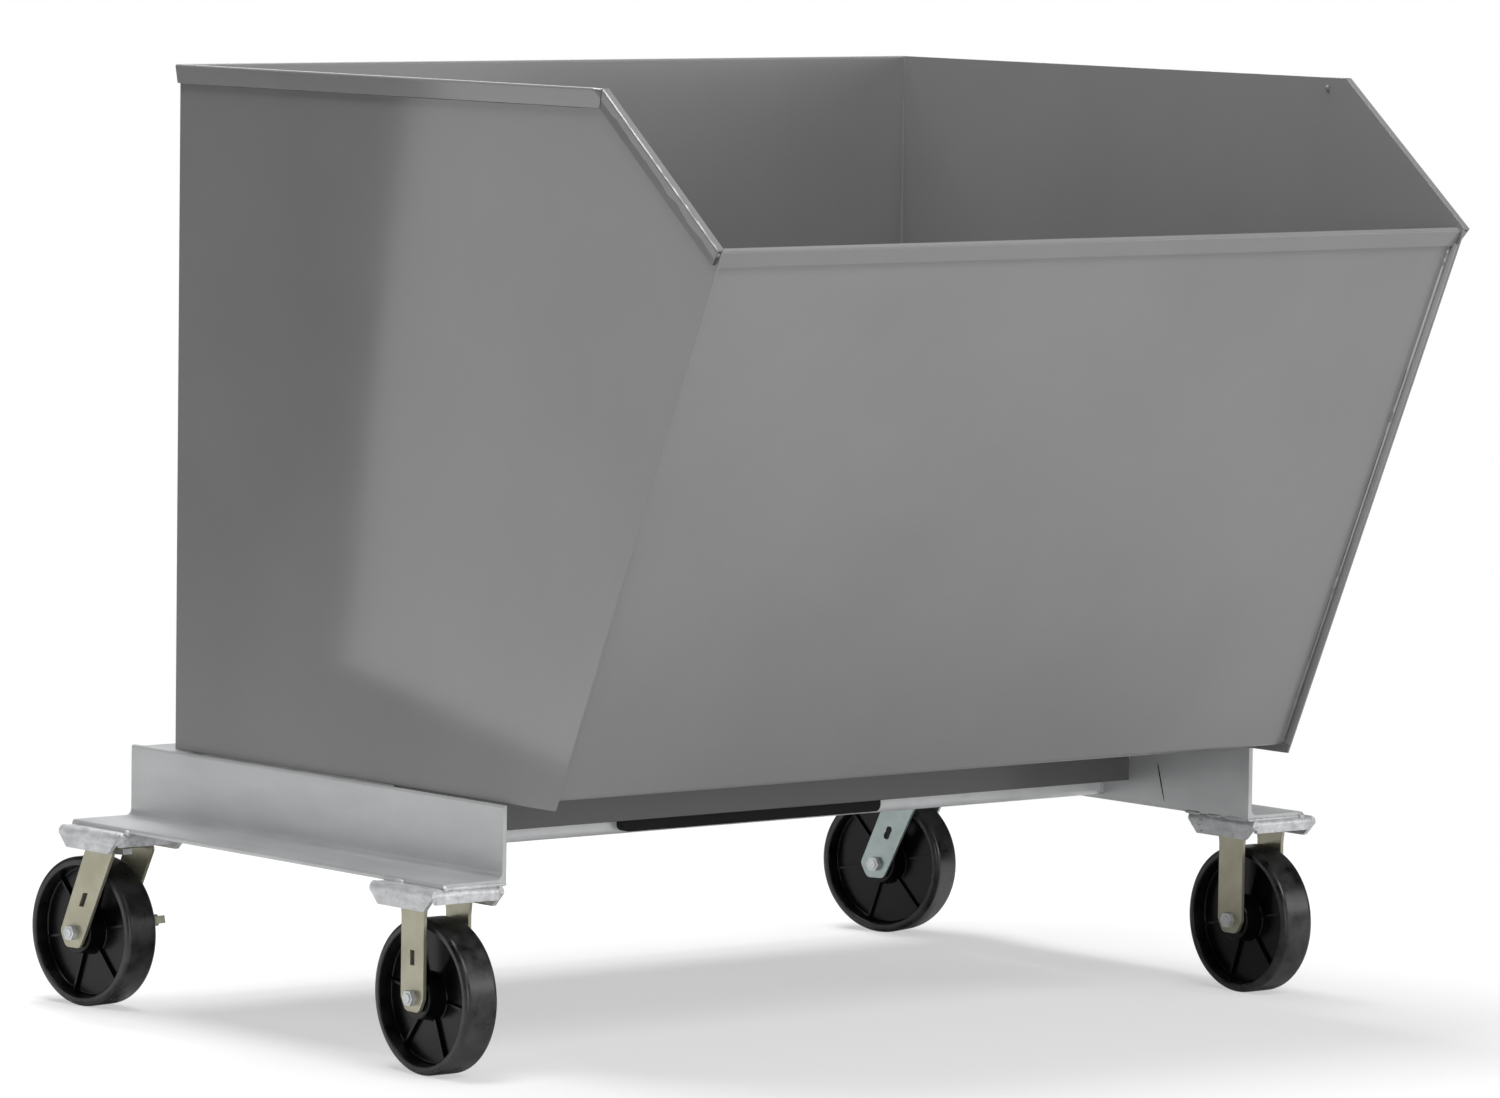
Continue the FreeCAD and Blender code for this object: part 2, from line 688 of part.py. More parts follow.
def mitre_side(corner, first_up, second_up, side):
    """The space on one side of a corner's middle plane, for trimming a rim to an open mitre."""
    inward = (first_up + second_up).normalize() * -1
    across = at(0, inward.z, -inward.y) * side
    near = across * (-MITRE_GAP / 2)
    reach = RIM_LENGTH / 2
    start = at(-HOPPER_WIDTH, corner[0], corner[1]) + near - inward * reach
    end = start + inward * 2 * reach
    ring = [start, end, end + across * reach, start + across * reach]
    return Part.Face(closed_wire([(point, 0) for point in ring])).extrude(at(2 * HOPPER_WIDTH, 0, 0))


def hopper_side():
    corners = side_corners()
    lip, shoulder, top = corners[2], corners[3], corners[4]
    panel = swept("x", HALF_INSIDE, HALF_WIDTH, corners)
    slope = at(0, lip[0] - shoulder[0], lip[1] - shoulder[1]).normalize()
    slope_up = at(0, slope.z, -slope.y)
    level_up = at(0, 0, 1)
    level = edge_rim(top, shoulder).cut(mitre_side(shoulder, level_up, slope_up, 1))
    sloped = edge_rim(shoulder, lip).cut(mitre_side(shoulder, level_up, slope_up, -1))
    return panel.fuse([level, sloped]).removeSplitter()


# Wrapper: front, floor and back are one bent sheet between the sides, parted here at the bends
def front_axes():
    """The foot of the front panel's outer face, with its up-slope and outward directions, as (y, z)."""
    foot, lip = side_corners()[1], side_corners()[2]
    length = math.hypot(lip[0] - foot[0], lip[1] - foot[1])
    up = ((lip[0] - foot[0]) / length, (lip[1] - foot[1]) / length)
    out = (-up[1], up[0])
    return (foot[0] - out[0] * FRONT_INSET, foot[1] - out[1] * FRONT_INSET), up, out, length - LIP_SET


def front_point(out_by, up_by):
    foot, up, out, _ = front_axes()
    return (foot[0] + out[0] * out_by + up[0] * up_by, foot[1] + out[1] * out_by + up[1] * up_by)


def front_at_height(out_by, z):
    """Where the front panel's plane, moved out by a distance, crosses one height."""
    foot, up, _, _ = front_axes()
    start = front_point(out_by, 0)
    return (start[0] + up[0] * (z - start[1]) / up[1], z)


def floor_front_y():
    return front_at_height(0, FLOOR_Z)[0] + SHEET_BEND + BEND_MARGIN


def floor_back_y():
    return HOPPER_BACK_Y - SHEET_BEND - BEND_MARGIN


def hopper_front():
    length = front_axes()[3]
    sheet, inside = HOPPER_SHEET, SHEET_BEND - HOPPER_SHEET
    rim = [(*front_point(row[0], length + row[1]), *row[2:]) for row in rim_rows()]
    rows = [
        (floor_front_y(), FLOOR_Z + sheet),
        (floor_front_y(), FLOOR_Z),
        (*front_at_height(0, FLOOR_Z), SHEET_BEND),
        *rim,
        (*front_point(-sheet, length), RIM_ROUND),
        (*front_at_height(-sheet, FLOOR_Z + sheet), inside),
    ]
    return swept("x", -HALF_INSIDE, HALF_INSIDE, rows)


def hopper_floor():
    run = (floor_front_y(), floor_back_y())
    return block((-HALF_INSIDE, HALF_INSIDE), run, (FLOOR_Z, FLOOR_Z + HOPPER_SHEET))


def hopper_back():
    sheet, back = HOPPER_SHEET, HOPPER_BACK_Y
    rim = [(back + row[0], RIM_Z + row[1], *row[2:]) for row in rim_rows()]
    rows = [
        (floor_back_y(), FLOOR_Z + sheet),
        (floor_back_y(), FLOOR_Z),
        (back, FLOOR_Z, SHEET_BEND),
        *rim,
        (back - sheet, RIM_Z, RIM_ROUND),
        (back - sheet, FLOOR_Z + sheet, SHEET_BEND - sheet),
    ]
    return swept("x", -HALF_INSIDE, HALF_INSIDE, rows)


# Latch: a hook lever on a bracket of the rear angle, and its keeper on the hopper's back
def keeper_z():
    return LATCH_PIN_Z + KEEPER_RISE


def latch_bracket():
    back = LATCH_PIN_Y + LATCH_PLATE_LENGTH / 2
    front = LATCH_PIN_Y - LATCH_PLATE_LENGTH / 2
    half, top = LATCH_PLATE_WIDTH / 2, RAIL_TOP_Z + LATCH_PLATE_SHEET
    plate = block((-half, half), (front, back), (RAIL_TOP_Z, top))
    inner = LEVER_SHEET / 2 + LEVER_PLAY
    width = EAR_WIDTH / 2
    ear = swept("x", inner, inner + EAR_SHEET, [
        (LATCH_PIN_Y - width, top),
        (LATCH_PIN_Y + width, top),
        (LATCH_PIN_Y + width, LATCH_PIN_Z + width, EAR_ROUND),
        (LATCH_PIN_Y - width, LATCH_PIN_Z + width, EAR_ROUND),
    ])
    hole = rod("x", LATCH_PIN_DIAMETER / 2, -half, half, LATCH_PIN_Y, LATCH_PIN_Z)
    return plate.fuse([ear, mirrored(ear)]).cut(hole).removeSplitter()


def latch_pin():
    reach = LEVER_SHEET / 2 + LEVER_PLAY + EAR_SHEET
    shank = rod("x", LATCH_PIN_DIAMETER / 2, -reach - LATCH_PIN_HEAD_HEIGHT, reach, LATCH_PIN_Y, LATCH_PIN_Z)
    head = rod("x", LATCH_PIN_HEAD / 2, reach, reach + LATCH_PIN_HEAD_HEIGHT, LATCH_PIN_Y, LATCH_PIN_Z)
    return shank.fuse(head).removeSplitter()


def lever_open(shape):
    """A lever piece drawn closed about the latch pin, swung back to where it rests open."""
    return shape.rotated(at(0, 0, 0), at(1, 0, 0), -LEVER_OPEN).translated(at(0, LATCH_PIN_Y, LATCH_PIN_Z))


def hook_underside():
    return KEEPER_RISE + KEEPER_PIN_DIAMETER / 2 + HOOK_PLAY


def hook_throat():
    """The lever's front face behind the keeper pin."""
    return KEEPER_BACK - LATCH_PIN_BACK + KEEPER_PIN_DIAMETER / 2 + HOOK_PLAY


def latch_lever():
    half, low = LEVER_SHEET / 2, hook_underside()
    front = hook_throat()
    nose = KEEPER_BACK - LATCH_PIN_BACK - HOOK_REACH
    back = front + LEVER_WIDTH
    blade = swept("x", -half, half, [
        (front, 0),
        (front, low),
        (nose, low),
        (nose, low + HOOK_WIDTH, HOOK_WIDTH / 2),
        (front, low + HOOK_WIDTH, HOOK_WIDTH / 2),
        (front, LEVER_LENGTH),
        (back, LEVER_LENGTH),
        (back, 0),
    ])
    boss = rod("x", LEVER_BOSS / 2, -half, half, 0, 0)
    bore = rod("x", LATCH_PIN_DIAMETER / 2 + RUNNING_FIT, -half, half, 0, 0)
    return lever_open(blade.fuse(boss).cut(bore).removeSplitter())


def latch_grip():
    """A moulded sleeve pushed over the lever's end."""
    front = hook_throat()
    back = front + LEVER_WIDTH
    wall = (GRIP_WIDTH - LEVER_WIDTH) / 2
    half, low = GRIP_SHEET / 2, LEVER_LENGTH - GRIP_LENGTH
    outer = swept("z", low, LEVER_LENGTH + wall, [
        (-half, front - wall, GRIP_ROUND),
        (half, front - wall, GRIP_ROUND),
        (half, back + wall, GRIP_ROUND),
        (-half, back + wall, GRIP_ROUND),
    ])
    pocket = block((-LEVER_SHEET / 2, LEVER_SHEET / 2), (front, back), (low, LEVER_LENGTH))
    return lever_open(outer.cut(pocket))


def latch_keeper():
    """Two cheeks welded to the hopper's back with a pin between them for the hook."""
    half, radius = KEEPER_SPAN / 2, KEEPER_PIN_DIAMETER / 2
    y, z, back = HOPPER_BACK_Y + KEEPER_BACK, keeper_z(), HOPPER_BACK_Y
    reach = radius + KEEPER_MARGIN
    cheek = swept("x", half, half + KEEPER_SHEET, [
        (back, z - 2 * reach),
        (y + reach, z - reach, KEEPER_MARGIN),
        (y + reach, z + reach, KEEPER_MARGIN),
        (back, z + 2 * reach),
    ])
    pin = rod("x", radius, -half - KEEPER_SHEET, half + KEEPER_SHEET, y, z)
    return pin.fuse([cheek, mirrored(cheek)]).removeSplitter()


# Every piece under its own name
right_rail, right_pad, right_boss, right_bush = rail(), caster_pad(), pivot_boss(), pivot_bush()
right_side = hopper_side()
nodes = {
    "rail_left": mirrored(right_rail),
    "rail_right": right_rail,
    "rear_cross_angle": rear_cross_angle(),
    "cross_beam": cross_beam(),
    "tip_buffer": tip_buffer(),
    "floor_rests": floor_rests(),
    "pivot_boss_left": mirrored(right_boss),
    "pivot_boss_right": right_boss,
    "pivot_bush_left": mirrored(right_bush),
    "pivot_bush_right": right_bush,
    "latch_bracket": latch_bracket(),
    "latch_pin": latch_pin(),
    "latch_lever": latch_lever(),
    "latch_grip": latch_grip(),
    "hopper_side_left": mirrored(right_side),
    "hopper_side_right": right_side,
    "hopper_front": hopper_front(),
    "hopper_floor": hopper_floor(),
    "hopper_back": hopper_back(),
    "pivot_channel": pivot_channel(),
    "pivot_lugs": pivot_lugs(),
    "pivot_shaft": pivot_shaft(),
    "latch_keeper": latch_keeper(),
}

# Casters: the rigid pair in front, the swivel pair behind at their rest directions
sides = {"left": -CASTER_X, "right": CASTER_X}
swings = {"left": SWING_LEFT, "right": SWING_RIGHT}
front_turns = {"left": RIB_TURN_FRONT_LEFT, "right": RIB_TURN}
rear_wheel, sleeve, tube, nut = wheel(RIB_TURN), bearing_sleeve(), axle_tube(), axle_nut()
bolt = axle_bolt(LEG_OUT)
braked_bolt = axle_bolt(brake_seat() + BRAKE_SHEET + SEAT_GAP)
plate, balls = swivel_plate(), swivel_balls()
for side, x in sides.items():
    nodes["caster_pad_front_" + side] = moved(right_pad, x, FRONT_CASTER_Y)
    nodes["caster_pad_rear_" + side] = moved(right_pad, x, REAR_CASTER_Y)
    nodes["rigid_fork_" + side] = moved(rigid_fork(side == "left"), x, FRONT_CASTER_Y)
    nodes["front_wheel_" + side] = moved(on_axle(wheel(front_turns[side])), x, FRONT_CASTER_Y)
    nodes["front_bearing_" + side] = moved(on_axle(sleeve), x, FRONT_CASTER_Y)
    swing = swings[side]
    nodes["swivel_plate_" + side] = moved(plate, x, REAR_CASTER_Y)
    nodes["swivel_balls_" + side] = moved(balls, x, REAR_CASTER_Y)
    nodes["swivel_fork_" + side] = moved(swivel_fork(side == "right"), x, REAR_CASTER_Y, swing)
    nodes["rear_wheel_" + side] = moved(on_axle(rear_wheel, TRAIL), x, REAR_CASTER_Y, swing)
    nodes["rear_bearing_" + side] = moved(on_axle(sleeve, TRAIL), x, REAR_CASTER_Y, swing)
    nodes["rear_axle_tube_" + side] = moved(on_axle(tube, TRAIL), x, REAR_CASTER_Y, swing)
    rear_bolt = braked_bolt if side == "left" else bolt
    nodes["rear_axle_bolt_" + side] = moved(on_axle(rear_bolt, TRAIL), x, REAR_CASTER_Y, swing)
    nodes["rear_axle_nut_" + side] = moved(on_axle(nut, TRAIL), x, REAR_CASTER_Y, swing)
for name, piece in {"tubes": tube, "bolts": bolt, "nuts": nut}.items():
    nodes["front_axle_" + name] = group([moved(on_axle(piece), x, FRONT_CASTER_Y) for x in sides.values()])
nodes["kingpins"] = group([moved(kingpin(), x, REAR_CASTER_Y) for x in sides.values()])
nodes["kingpin_nuts"] = group([moved(kingpin_nut(), x, REAR_CASTER_Y) for x in sides.values()])
nodes["brake_cam"] = moved(brake_cam(), sides["left"], REAR_CASTER_Y, SWING_LEFT)
nodes["brake_lever"] = moved(brake_lever(), sides["left"], REAR_CASTER_Y, SWING_LEFT)

os.makedirs("parts", exist_ok=True)
for name, shape in nodes.items():
    shape.exportStep("parts/" + name + ".step")
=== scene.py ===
import math

import bpy
import numpy as np
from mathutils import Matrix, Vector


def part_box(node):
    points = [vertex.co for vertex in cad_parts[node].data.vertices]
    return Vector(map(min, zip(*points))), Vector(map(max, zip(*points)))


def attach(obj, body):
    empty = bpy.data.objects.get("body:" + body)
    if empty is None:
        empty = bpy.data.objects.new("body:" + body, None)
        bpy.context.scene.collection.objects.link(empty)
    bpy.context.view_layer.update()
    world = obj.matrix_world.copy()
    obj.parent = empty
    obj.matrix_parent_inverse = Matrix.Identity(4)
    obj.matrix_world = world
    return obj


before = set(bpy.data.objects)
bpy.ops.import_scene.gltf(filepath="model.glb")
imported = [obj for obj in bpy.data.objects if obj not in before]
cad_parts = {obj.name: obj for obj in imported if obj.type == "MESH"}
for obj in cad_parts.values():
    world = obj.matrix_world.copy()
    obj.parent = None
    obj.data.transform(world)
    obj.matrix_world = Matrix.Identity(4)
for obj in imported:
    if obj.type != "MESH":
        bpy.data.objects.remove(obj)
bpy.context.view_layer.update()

# Rails and cross members: rolled steel angle and square tube, welded into one frame and dipped whole in
# molten zinc. It froze as a satin grey skin with soft patches, streaks drawn out along the steel, a few
# dark flecks, and a grain that blurs every reflection and is drawn coarser than real so that it shows.
RAIL_DULL = "acadae"
RAIL_PALE = "babbbc"
# The cross beam and pivot bosses take a paler copy of the same zinc: painted light that brightens the
# beam's front
BEAM_PAINTED_LIGHT_DULL = "d6d7d8"
BEAM_PAINTED_LIGHT_PALE = "e2e3e4"
FLECK_GREY = "5a5b5d"
ZINC_METAL = 0.35
ZINC_ROUGH = {"To Min": 0.36, "To Max": 0.46}
ZINC_PATCH = 0.09
ZINC_LUMP = 0.04
ZINC_LUMP_HEIGHT = 0.00008
ZINC_FLECK = 0.006
ZINC_GRAIN = 0.004
ZINC_GRAIN_HEIGHT = 0.00004
ZINC_EDGE = 0.0012
RAIL_FLECKS = 0.1
STREAKS_PER_PATCH = 3
STREAK_DRAW = (1.0, 0.16, 1.0)

# The stretch of a noise pattern that makes a whole change of tone: for one pattern, for the sum of two,
# and for the rare high spots that show as flecks
NOISE_SPAN = {"From Min": 0.3, "From Max": 0.7}
SUM_SPAN = {"From Min": 0.7, "From Max": 1.3}
FLECK_SPAN = {"From Min": 0.62, "From Max": 0.85}

# The places of a colour mix's share, two colours and result, and the samples of a rounded edge
FACTOR, FIRST, SECOND, MIXED = 0, 6, 7, 2
EDGE_SAMPLES = 4


def linear(code):
    """An sRGB hex colour as opaque linear light: a straight line when dark, else a power of 2.4."""
    parts = np.array([int(code[index:index + 2], 16) for index in (0, 2, 4)]) / 255
    light = np.where(parts <= 0.04045, parts / 12.92, ((parts + 0.055) / 1.055) ** 2.4)
    return (*light, 1.0)


def add(tree, kind, inputs=None, **settings):
    """Adds one shader node with its settings, and a value or another node's socket at each input."""
    node = tree.nodes.new("ShaderNode" + kind)
    for name, value in settings.items():
        setattr(node, name, value)
    for name, value in (inputs or {}).items():
        if isinstance(value, bpy.types.NodeSocket):
            tree.links.new(value, node.inputs[name])
        else:
            node.inputs[name].default_value = value
    return node


def blank_finish(name):
    """An empty material, its node tree, and the socket that gives the part's coordinates in metres."""
    material = bpy.data.materials.new(name)
    material.use_nodes = True
    tree = material.node_tree
    tree.nodes.clear()
    return material, tree, add(tree, "TexCoord").outputs["Object"]


def cover(tree, **inputs):
    """Ends a material with one shader, whose inputs are named with underscores for spaces."""
    sockets = {name.replace("_", " "): value for name, value in inputs.items()}
    shader = add(tree, "BsdfPrincipled", sockets)
    add(tree, "OutputMaterial", {"Surface": shader.outputs["BSDF"]})


def dress(names, material):
    """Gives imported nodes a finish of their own."""
    for name in names:
        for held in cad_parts[name].material_slots:
            held.material = material


def dipped_zinc(name, dull, pale, patch, lump, lump_height, flecks):
    """Hot-dip zinc: two greys mixed by the sum of patches and streaks, rougher where the patches are pale,
    with a share of dark flecks, and lumps and grain as bump."""
    material, tree, place = blank_finish(name)
    clouds = {"Vector": place, "Scale": 1 / patch, "Detail": 4.0}
    patches = add(tree, "TexNoise", clouds).outputs["Fac"]
    drawn = add(tree, "Mapping", {"Vector": place, "Scale": STREAK_DRAW}).outputs["Vector"]
    runs = {"Vector": drawn, "Scale": STREAKS_PER_PATCH / patch, "Detail": 3.0}
    streaks = add(tree, "TexNoise", runs).outputs["Fac"]
    both = add(tree, "Math", {0: patches, 1: streaks}, operation="ADD").outputs["Value"]
    share = add(tree, "MapRange", {"Value": both, **SUM_SPAN}).outputs["Result"]
    greys = {FACTOR: share, FIRST: linear(dull), SECOND: linear(pale)}
    clean = add(tree, "Mix", greys, data_type="RGBA").outputs[MIXED]
    dots = {"Vector": place, "Scale": 1 / ZINC_FLECK, "Detail": 2.0}
    specks = add(tree, "TexNoise", dots).outputs["Fac"]
    dark = add(tree, "MapRange", {"Value": specks, **FLECK_SPAN, "To Max": flecks}).outputs["Result"]
    flecked = {FACTOR: dark, FIRST: clean, SECOND: linear(FLECK_GREY)}
    grey = add(tree, "Mix", flecked, data_type="RGBA").outputs[MIXED]
    rough = add(tree, "MapRange", {"Value": patches, **NOISE_SPAN, **ZINC_ROUGH}).outputs["Result"]
    edge = add(tree, "Bevel", {"Radius": ZINC_EDGE}, samples=EDGE_SAMPLES).outputs["Normal"]
    lumps = add(tree, "TexNoise", {"Vector": place, "Scale": 1 / lump, "Detail": 1.0}).outputs["Fac"]
    swell = {"Height": lumps, "Distance": lump_height, "Strength": 1.0, "Normal": edge}
    lumpy = add(tree, "Bump", swell).outputs["Normal"]
    grit = {"Vector": place, "Scale": 1 / ZINC_GRAIN, "Detail": 2.0}
    grains = add(tree, "TexNoise", grit).outputs["Fac"]
    fine = {"Height": grains, "Distance": ZINC_GRAIN_HEIGHT, "Strength": 1.0, "Normal": lumpy}
    finish = add(tree, "Bump", fine).outputs["Normal"]
    cover(tree, Base_Color=grey, Metallic=ZINC_METAL, Roughness=rough, Normal=finish)
    return material


rail_skin = (ZINC_PATCH, ZINC_LUMP, ZINC_LUMP_HEIGHT, RAIL_FLECKS)
rail_zinc = dipped_zinc("hot_dip_zinc", RAIL_DULL, RAIL_PALE, *rail_skin)
dress(["rail_left", "rail_right", "rear_cross_angle"], rail_zinc)
# Painted light: the paler copy of the rail zinc
painted_light_beam_zinc = dipped_zinc("dip_zinc_painted_light", BEAM_PAINTED_LIGHT_DULL, BEAM_PAINTED_LIGHT_PALE, *rail_skin)
dress(["cross_beam", "pivot_boss_left", "pivot_boss_right"], painted_light_beam_zinc)

# Caster pads: trays folded from 6 mm plate, cut open at their corners and welded under the rail ends.
# Thick zinc hung on their folds and edges when the frame was lifted out, and froze there in bright lumps.
PAD_DULL = "a8a9ab"
PAD_PALE = "cfd0d2"
PAD_PATCH = 0.02
PAD_LUMP = 0.009
PAD_LUMP_HEIGHT = 0.0013
PAD_FLECKS = 0.6
CORNERS = [(end, side) for end in ("front", "rear") for side in ("left", "right")]

pad_skin = (PAD_PATCH, PAD_LUMP, PAD_LUMP_HEIGHT, PAD_FLECKS)
pad_zinc = dipped_zinc("lumpy_zinc", PAD_DULL, PAD_PALE, *pad_skin)
dress(["caster_pad_%s_%s" % corner for corner in CORNERS], pad_zinc)

# Welds of the base: short stitches of filler steel, laid by hand where rails, pads and cross members meet
# and galvanised with the frame. Molten zinc ran to the pads' corners and one side lip and froze in drops.
BASE_BEAD = 0.0042
THIN_BEAD = 0.0026
BASE_RIPPLE = 0.0055
BEAD_END_GAP = 0.006
DROP = 0.0045
DROP_RUN = 0.009
CORNER_BEAD = 0.0042
CORNER_INSET = 0.0075
CORNER_RUN = (0.006, 0.016)
COLLAR_POINTS = 49

# Where a stitch starts and stops, as shares of the pad's length from the rail's end
TOE_STITCHES = {"front": (0.62, 0.93), "rear": (0.93, 1.0)}
HEEL_STITCHES = ((0.04, 0.34), (0.42, 0.63), (0.74, 0.97))

# How far behind the rail's end and below the rail each spot on the lip lies
SPOTTED_PAD = ("front", "right")
LIP_SPOT = 0.0032
LIP_SPOTS = ((0.104, 0.009), (0.107, 0.016), (0.103, 0.023))

# A bead's points around, rings per ripple and fewest rings, then the shares of its size that are steady,
# that ripple and that swell, each swell with its length, and how much of the rounded tips is kept
BEAD_SIDES = 12
BEAD_STEPS = 5
BEAD_FEWEST = 9
BEAD_BODY = 0.85
BEAD_WAVE = 0.13
BEAD_SWELLS = ((0.12, 0.023), (0.08, 0.009))
BEAD_TIP = 0.99


def bead(path, rise, size, ripple, seed):
    """One weld bead as rings of points. Each ring is a circle about the path, swollen by a wave of the
    ripple's length and by two slow seeded waves. Both ends are drawn in by the fourth root of one less the
    fourth power of the way from the middle."""
    path = np.asarray(path, float)
    steps = np.linalg.norm(np.diff(path, axis=0), axis=1)
    run = np.concatenate([[0], np.cumsum(steps)])
    along = np.linspace(0, run[-1], max(int(run[-1] / ripple * BEAD_STEPS), BEAD_FEWEST))
    centre = np.stack([np.interp(along, run, path[:, axis]) for axis in range(3)], axis=1)
    ahead = np.gradient(centre, axis=0)
    ahead /= np.linalg.norm(ahead, axis=1, keepdims=True)
    up = np.broadcast_to(np.asarray(rise, float), centre.shape)
    up = up - ahead * np.sum(up * ahead, axis=1, keepdims=True)
    up /= np.linalg.norm(up, axis=1, keepdims=True)
    side = np.cross(up, ahead)
    phase = np.random.default_rng(seed).uniform(0, 2 * np.pi, 3)
    wave = BEAD_WAVE * np.abs(np.sin(np.pi * along / ripple + phase[0]))
    swells = zip(BEAD_SWELLS, phase[1:])
    slow = sum(part * np.sin(along / length + start) for (part, length), start in swells)
    from_middle = 2 * BEAD_TIP * (along / run[-1] - 0.5)
    radius = size * (BEAD_BODY + wave + slow) * (1 - from_middle ** 4) ** 0.25
    turn = np.linspace(0, 2 * np.pi, BEAD_SIDES, endpoint=False)
    ring = side[:, None] * np.cos(turn)[None, :, None] + up[:, None] * np.sin(turn)[None, :, None]
    return centre[:, None] + ring * radius[:, None, None]


def stitch(beads, path, rise, size, ripple):
    """Lays one more bead, whose seed is its place in the list."""
    beads.append(bead(path, rise, size, ripple, len(beads)))


def piece(name, tubes, material, body):
    """One mesh of closed tubes that rides on a body. Each tube is rings of points, joined along and around
    by four-sided faces and closed by triangles that meet in the middle of each end ring."""
    points, faces, first = [], [], 0
    for rings in tubes:
        count, sides = rings.shape[:2]
        grid = first + np.arange(count * sides).reshape(count, sides)
        turned = np.roll(grid, -1, axis=1)
        walls = np.stack([grid[:-1], turned[:-1], turned[1:], grid[1:]], axis=-1)
        start, end = np.full(sides, grid[-1, -1] + 1), np.full(sides, grid[-1, -1] + 2)
        points += [rings.reshape(-1, 3), rings[[0, -1]].mean(axis=1)]
        faces += walls.reshape(-1, 4).tolist()
        faces += np.stack([start, turned[0], grid[0]], axis=-1).tolist()
        faces += np.stack([end, grid[-1], turned[-1]], axis=-1).tolist()
        first += count * sides + 2
    mesh = bpy.data.meshes.new(name)
    mesh.from_pydata(np.concatenate(points).tolist(), [], faces)
    mesh.polygons.foreach_set("use_smooth", np.ones(len(mesh.polygons), bool))
    mesh.materials.append(material)
    made = bpy.data.objects.new(name, mesh)
    bpy.context.scene.collection.objects.link(made)
    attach(made, body)


base_beads = []
beam_low, beam_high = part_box("cross_beam")
angle_low, angle_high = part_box("rear_cross_angle")
for out, side in ((-1, "left"), (1, "right")):
    rail_low, rail_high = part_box("rail_" + side)
    heel, toe = (rail_high.x, rail_low.x) if out < 0 else (rail_low.x, rail_high.x)
    under = rail_low.z
    for back, end in ((-1, "front"), (1, "rear")):
        pad_low, pad_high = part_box("caster_pad_%s_%s" % (end, side))
        pad_middle = (pad_low + pad_high) / 2
        rail_end = rail_low.y if back < 0 else rail_high.y
        held = pad_high.y - pad_low.y
        first, last = (rail_end - back * held * share for share in TOE_STITCHES[end])
        toe_line = [(toe, first, under), (toe, last, under)]
        end_line = [(heel, rail_end, under), (toe - out * BEAD_END_GAP, rail_end, under)]
        drop_line = [(toe - out * DROP_RUN, rail_end, under), (toe, rail_end, under)]
        stitch(base_beads, toe_line, (out, 0, 1), BASE_BEAD, BASE_RIPPLE)
        stitch(base_beads, end_line, (0, back, 1), THIN_BEAD, BASE_RIPPLE)
        stitch(base_beads, drop_line, (0, back, 1), DROP, BASE_RIPPLE)
        for shares in HEEL_STITCHES:
            first, last = (rail_end - back * held * share for share in shares)
            heel_line = [(heel, first, under), (heel, last, under)]
            stitch(base_beads, heel_line, (-out, 0, -1), THIN_BEAD, BASE_RIPPLE)
        lip_spots = LIP_SPOTS if (end, side) == SPOTTED_PAD else ()
        for along, down in lip_spots:
            spot = np.array([pad_low.x, rail_end - back * along, under - down])
            spot_line = [spot, spot - [0, 0, LIP_SPOT]]
            stitch(base_beads, spot_line, (-1, 0, 0), LIP_SPOT, BASE_RIPPLE)
        for across in (pad_low.x + CORNER_INSET, pad_high.x - CORNER_INSET):
            for along in (pad_low.y + BASE_BEAD, pad_high.y - BASE_BEAD):
                corner_line = [(across, along, under - down) for down in CORNER_RUN]
                lean = (across - pad_middle.x, along - pad_middle.y, 0)
                stitch(base_beads, corner_line, lean, CORNER_BEAD, BASE_RIPPLE)
    cross_seams = [
        ([(heel, beam_low.y, beam_low.z), (heel, beam_low.y, beam_high.z)], (-out, -1, 0)),
        ([(heel, beam_high.y, beam_low.z), (heel, beam_high.y, beam_high.z)], (-out, 1, 0)),
        ([(heel, beam_low.y, beam_high.z), (heel, beam_high.y, beam_high.z)], (-out, 0, 1)),
        ([(heel, angle_high.y, angle_low.z), (heel, angle_high.y, angle_high.z)], (-out, 1, 0)),
    ]
    seed = len(base_beads)
    base_beads += [bead(path, rise, BASE_BEAD, BASE_RIPPLE, seed) for path, rise in cross_seams]
    boss_low, boss_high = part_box("pivot_boss_" + side)
    boss_middle = (boss_low + boss_high) / 2
    boss_round = (boss_high.z - boss_low.z) / 2
    turn = np.linspace(0, 2 * np.pi, COLLAR_POINTS)
    collar = np.stack([
        np.full_like(turn, heel),
        boss_middle.y + boss_round * np.cos(turn),
        boss_middle.z + boss_round * np.sin(turn),
    ], axis=1)
    stitch(base_beads, collar, (-out, 0, 0), BASE_BEAD, BASE_RIPPLE)

piece("base_welds", base_beads, pad_zinc, "base")

# Hopper: front, floor and back of 3 mm sheet steel, welded between two flat sides with folded rims. All is
# sprayed with grey enamel, glossy on the sides and satin on the rest, that shows the sheet's slight waves
# and an orange peel, which is drawn coarser than real so that it shows.
SHEET = 0.003
LIP_RISE = 0.731
RIM_RUN = 0.9325
ENAMEL_GREY = "777777"
ENAMEL_WORN = "727272"
# A darker copy of the enamel: painted shade for the parts that sit under the hopper's floor
PAINTED_SHADE_GREY = "5e5e5e"
PAINTED_SHADE_WORN = "575757"
ENAMEL_IOR = 1.5
ENAMEL_GLOSS = {"To Min": 0.06, "To Max": 0.08}
ENAMEL_SATIN = {"To Min": 0.2, "To Max": 0.26}
ENAMEL_PATCH = 0.3
ENAMEL_PEEL = 0.007
ENAMEL_PEEL_HEIGHT = 0.000015
ENAMEL_EDGE = 0.0013
SHEET_WAVE = 0.45
SHEET_WAVE_HEIGHT = 0.0009

# The sloped skirt's lean, how far down it reaches, the length and depth of its waver, and how far from the
# sheet's inner face the outside starts
SKIRT_LEAN = 0.16
SKIRT_ROLL = 0.019
SKIRT_WAVE = 0.03
SKIRT_WAVER = 0.012
OUTSIDE_START = 0.002

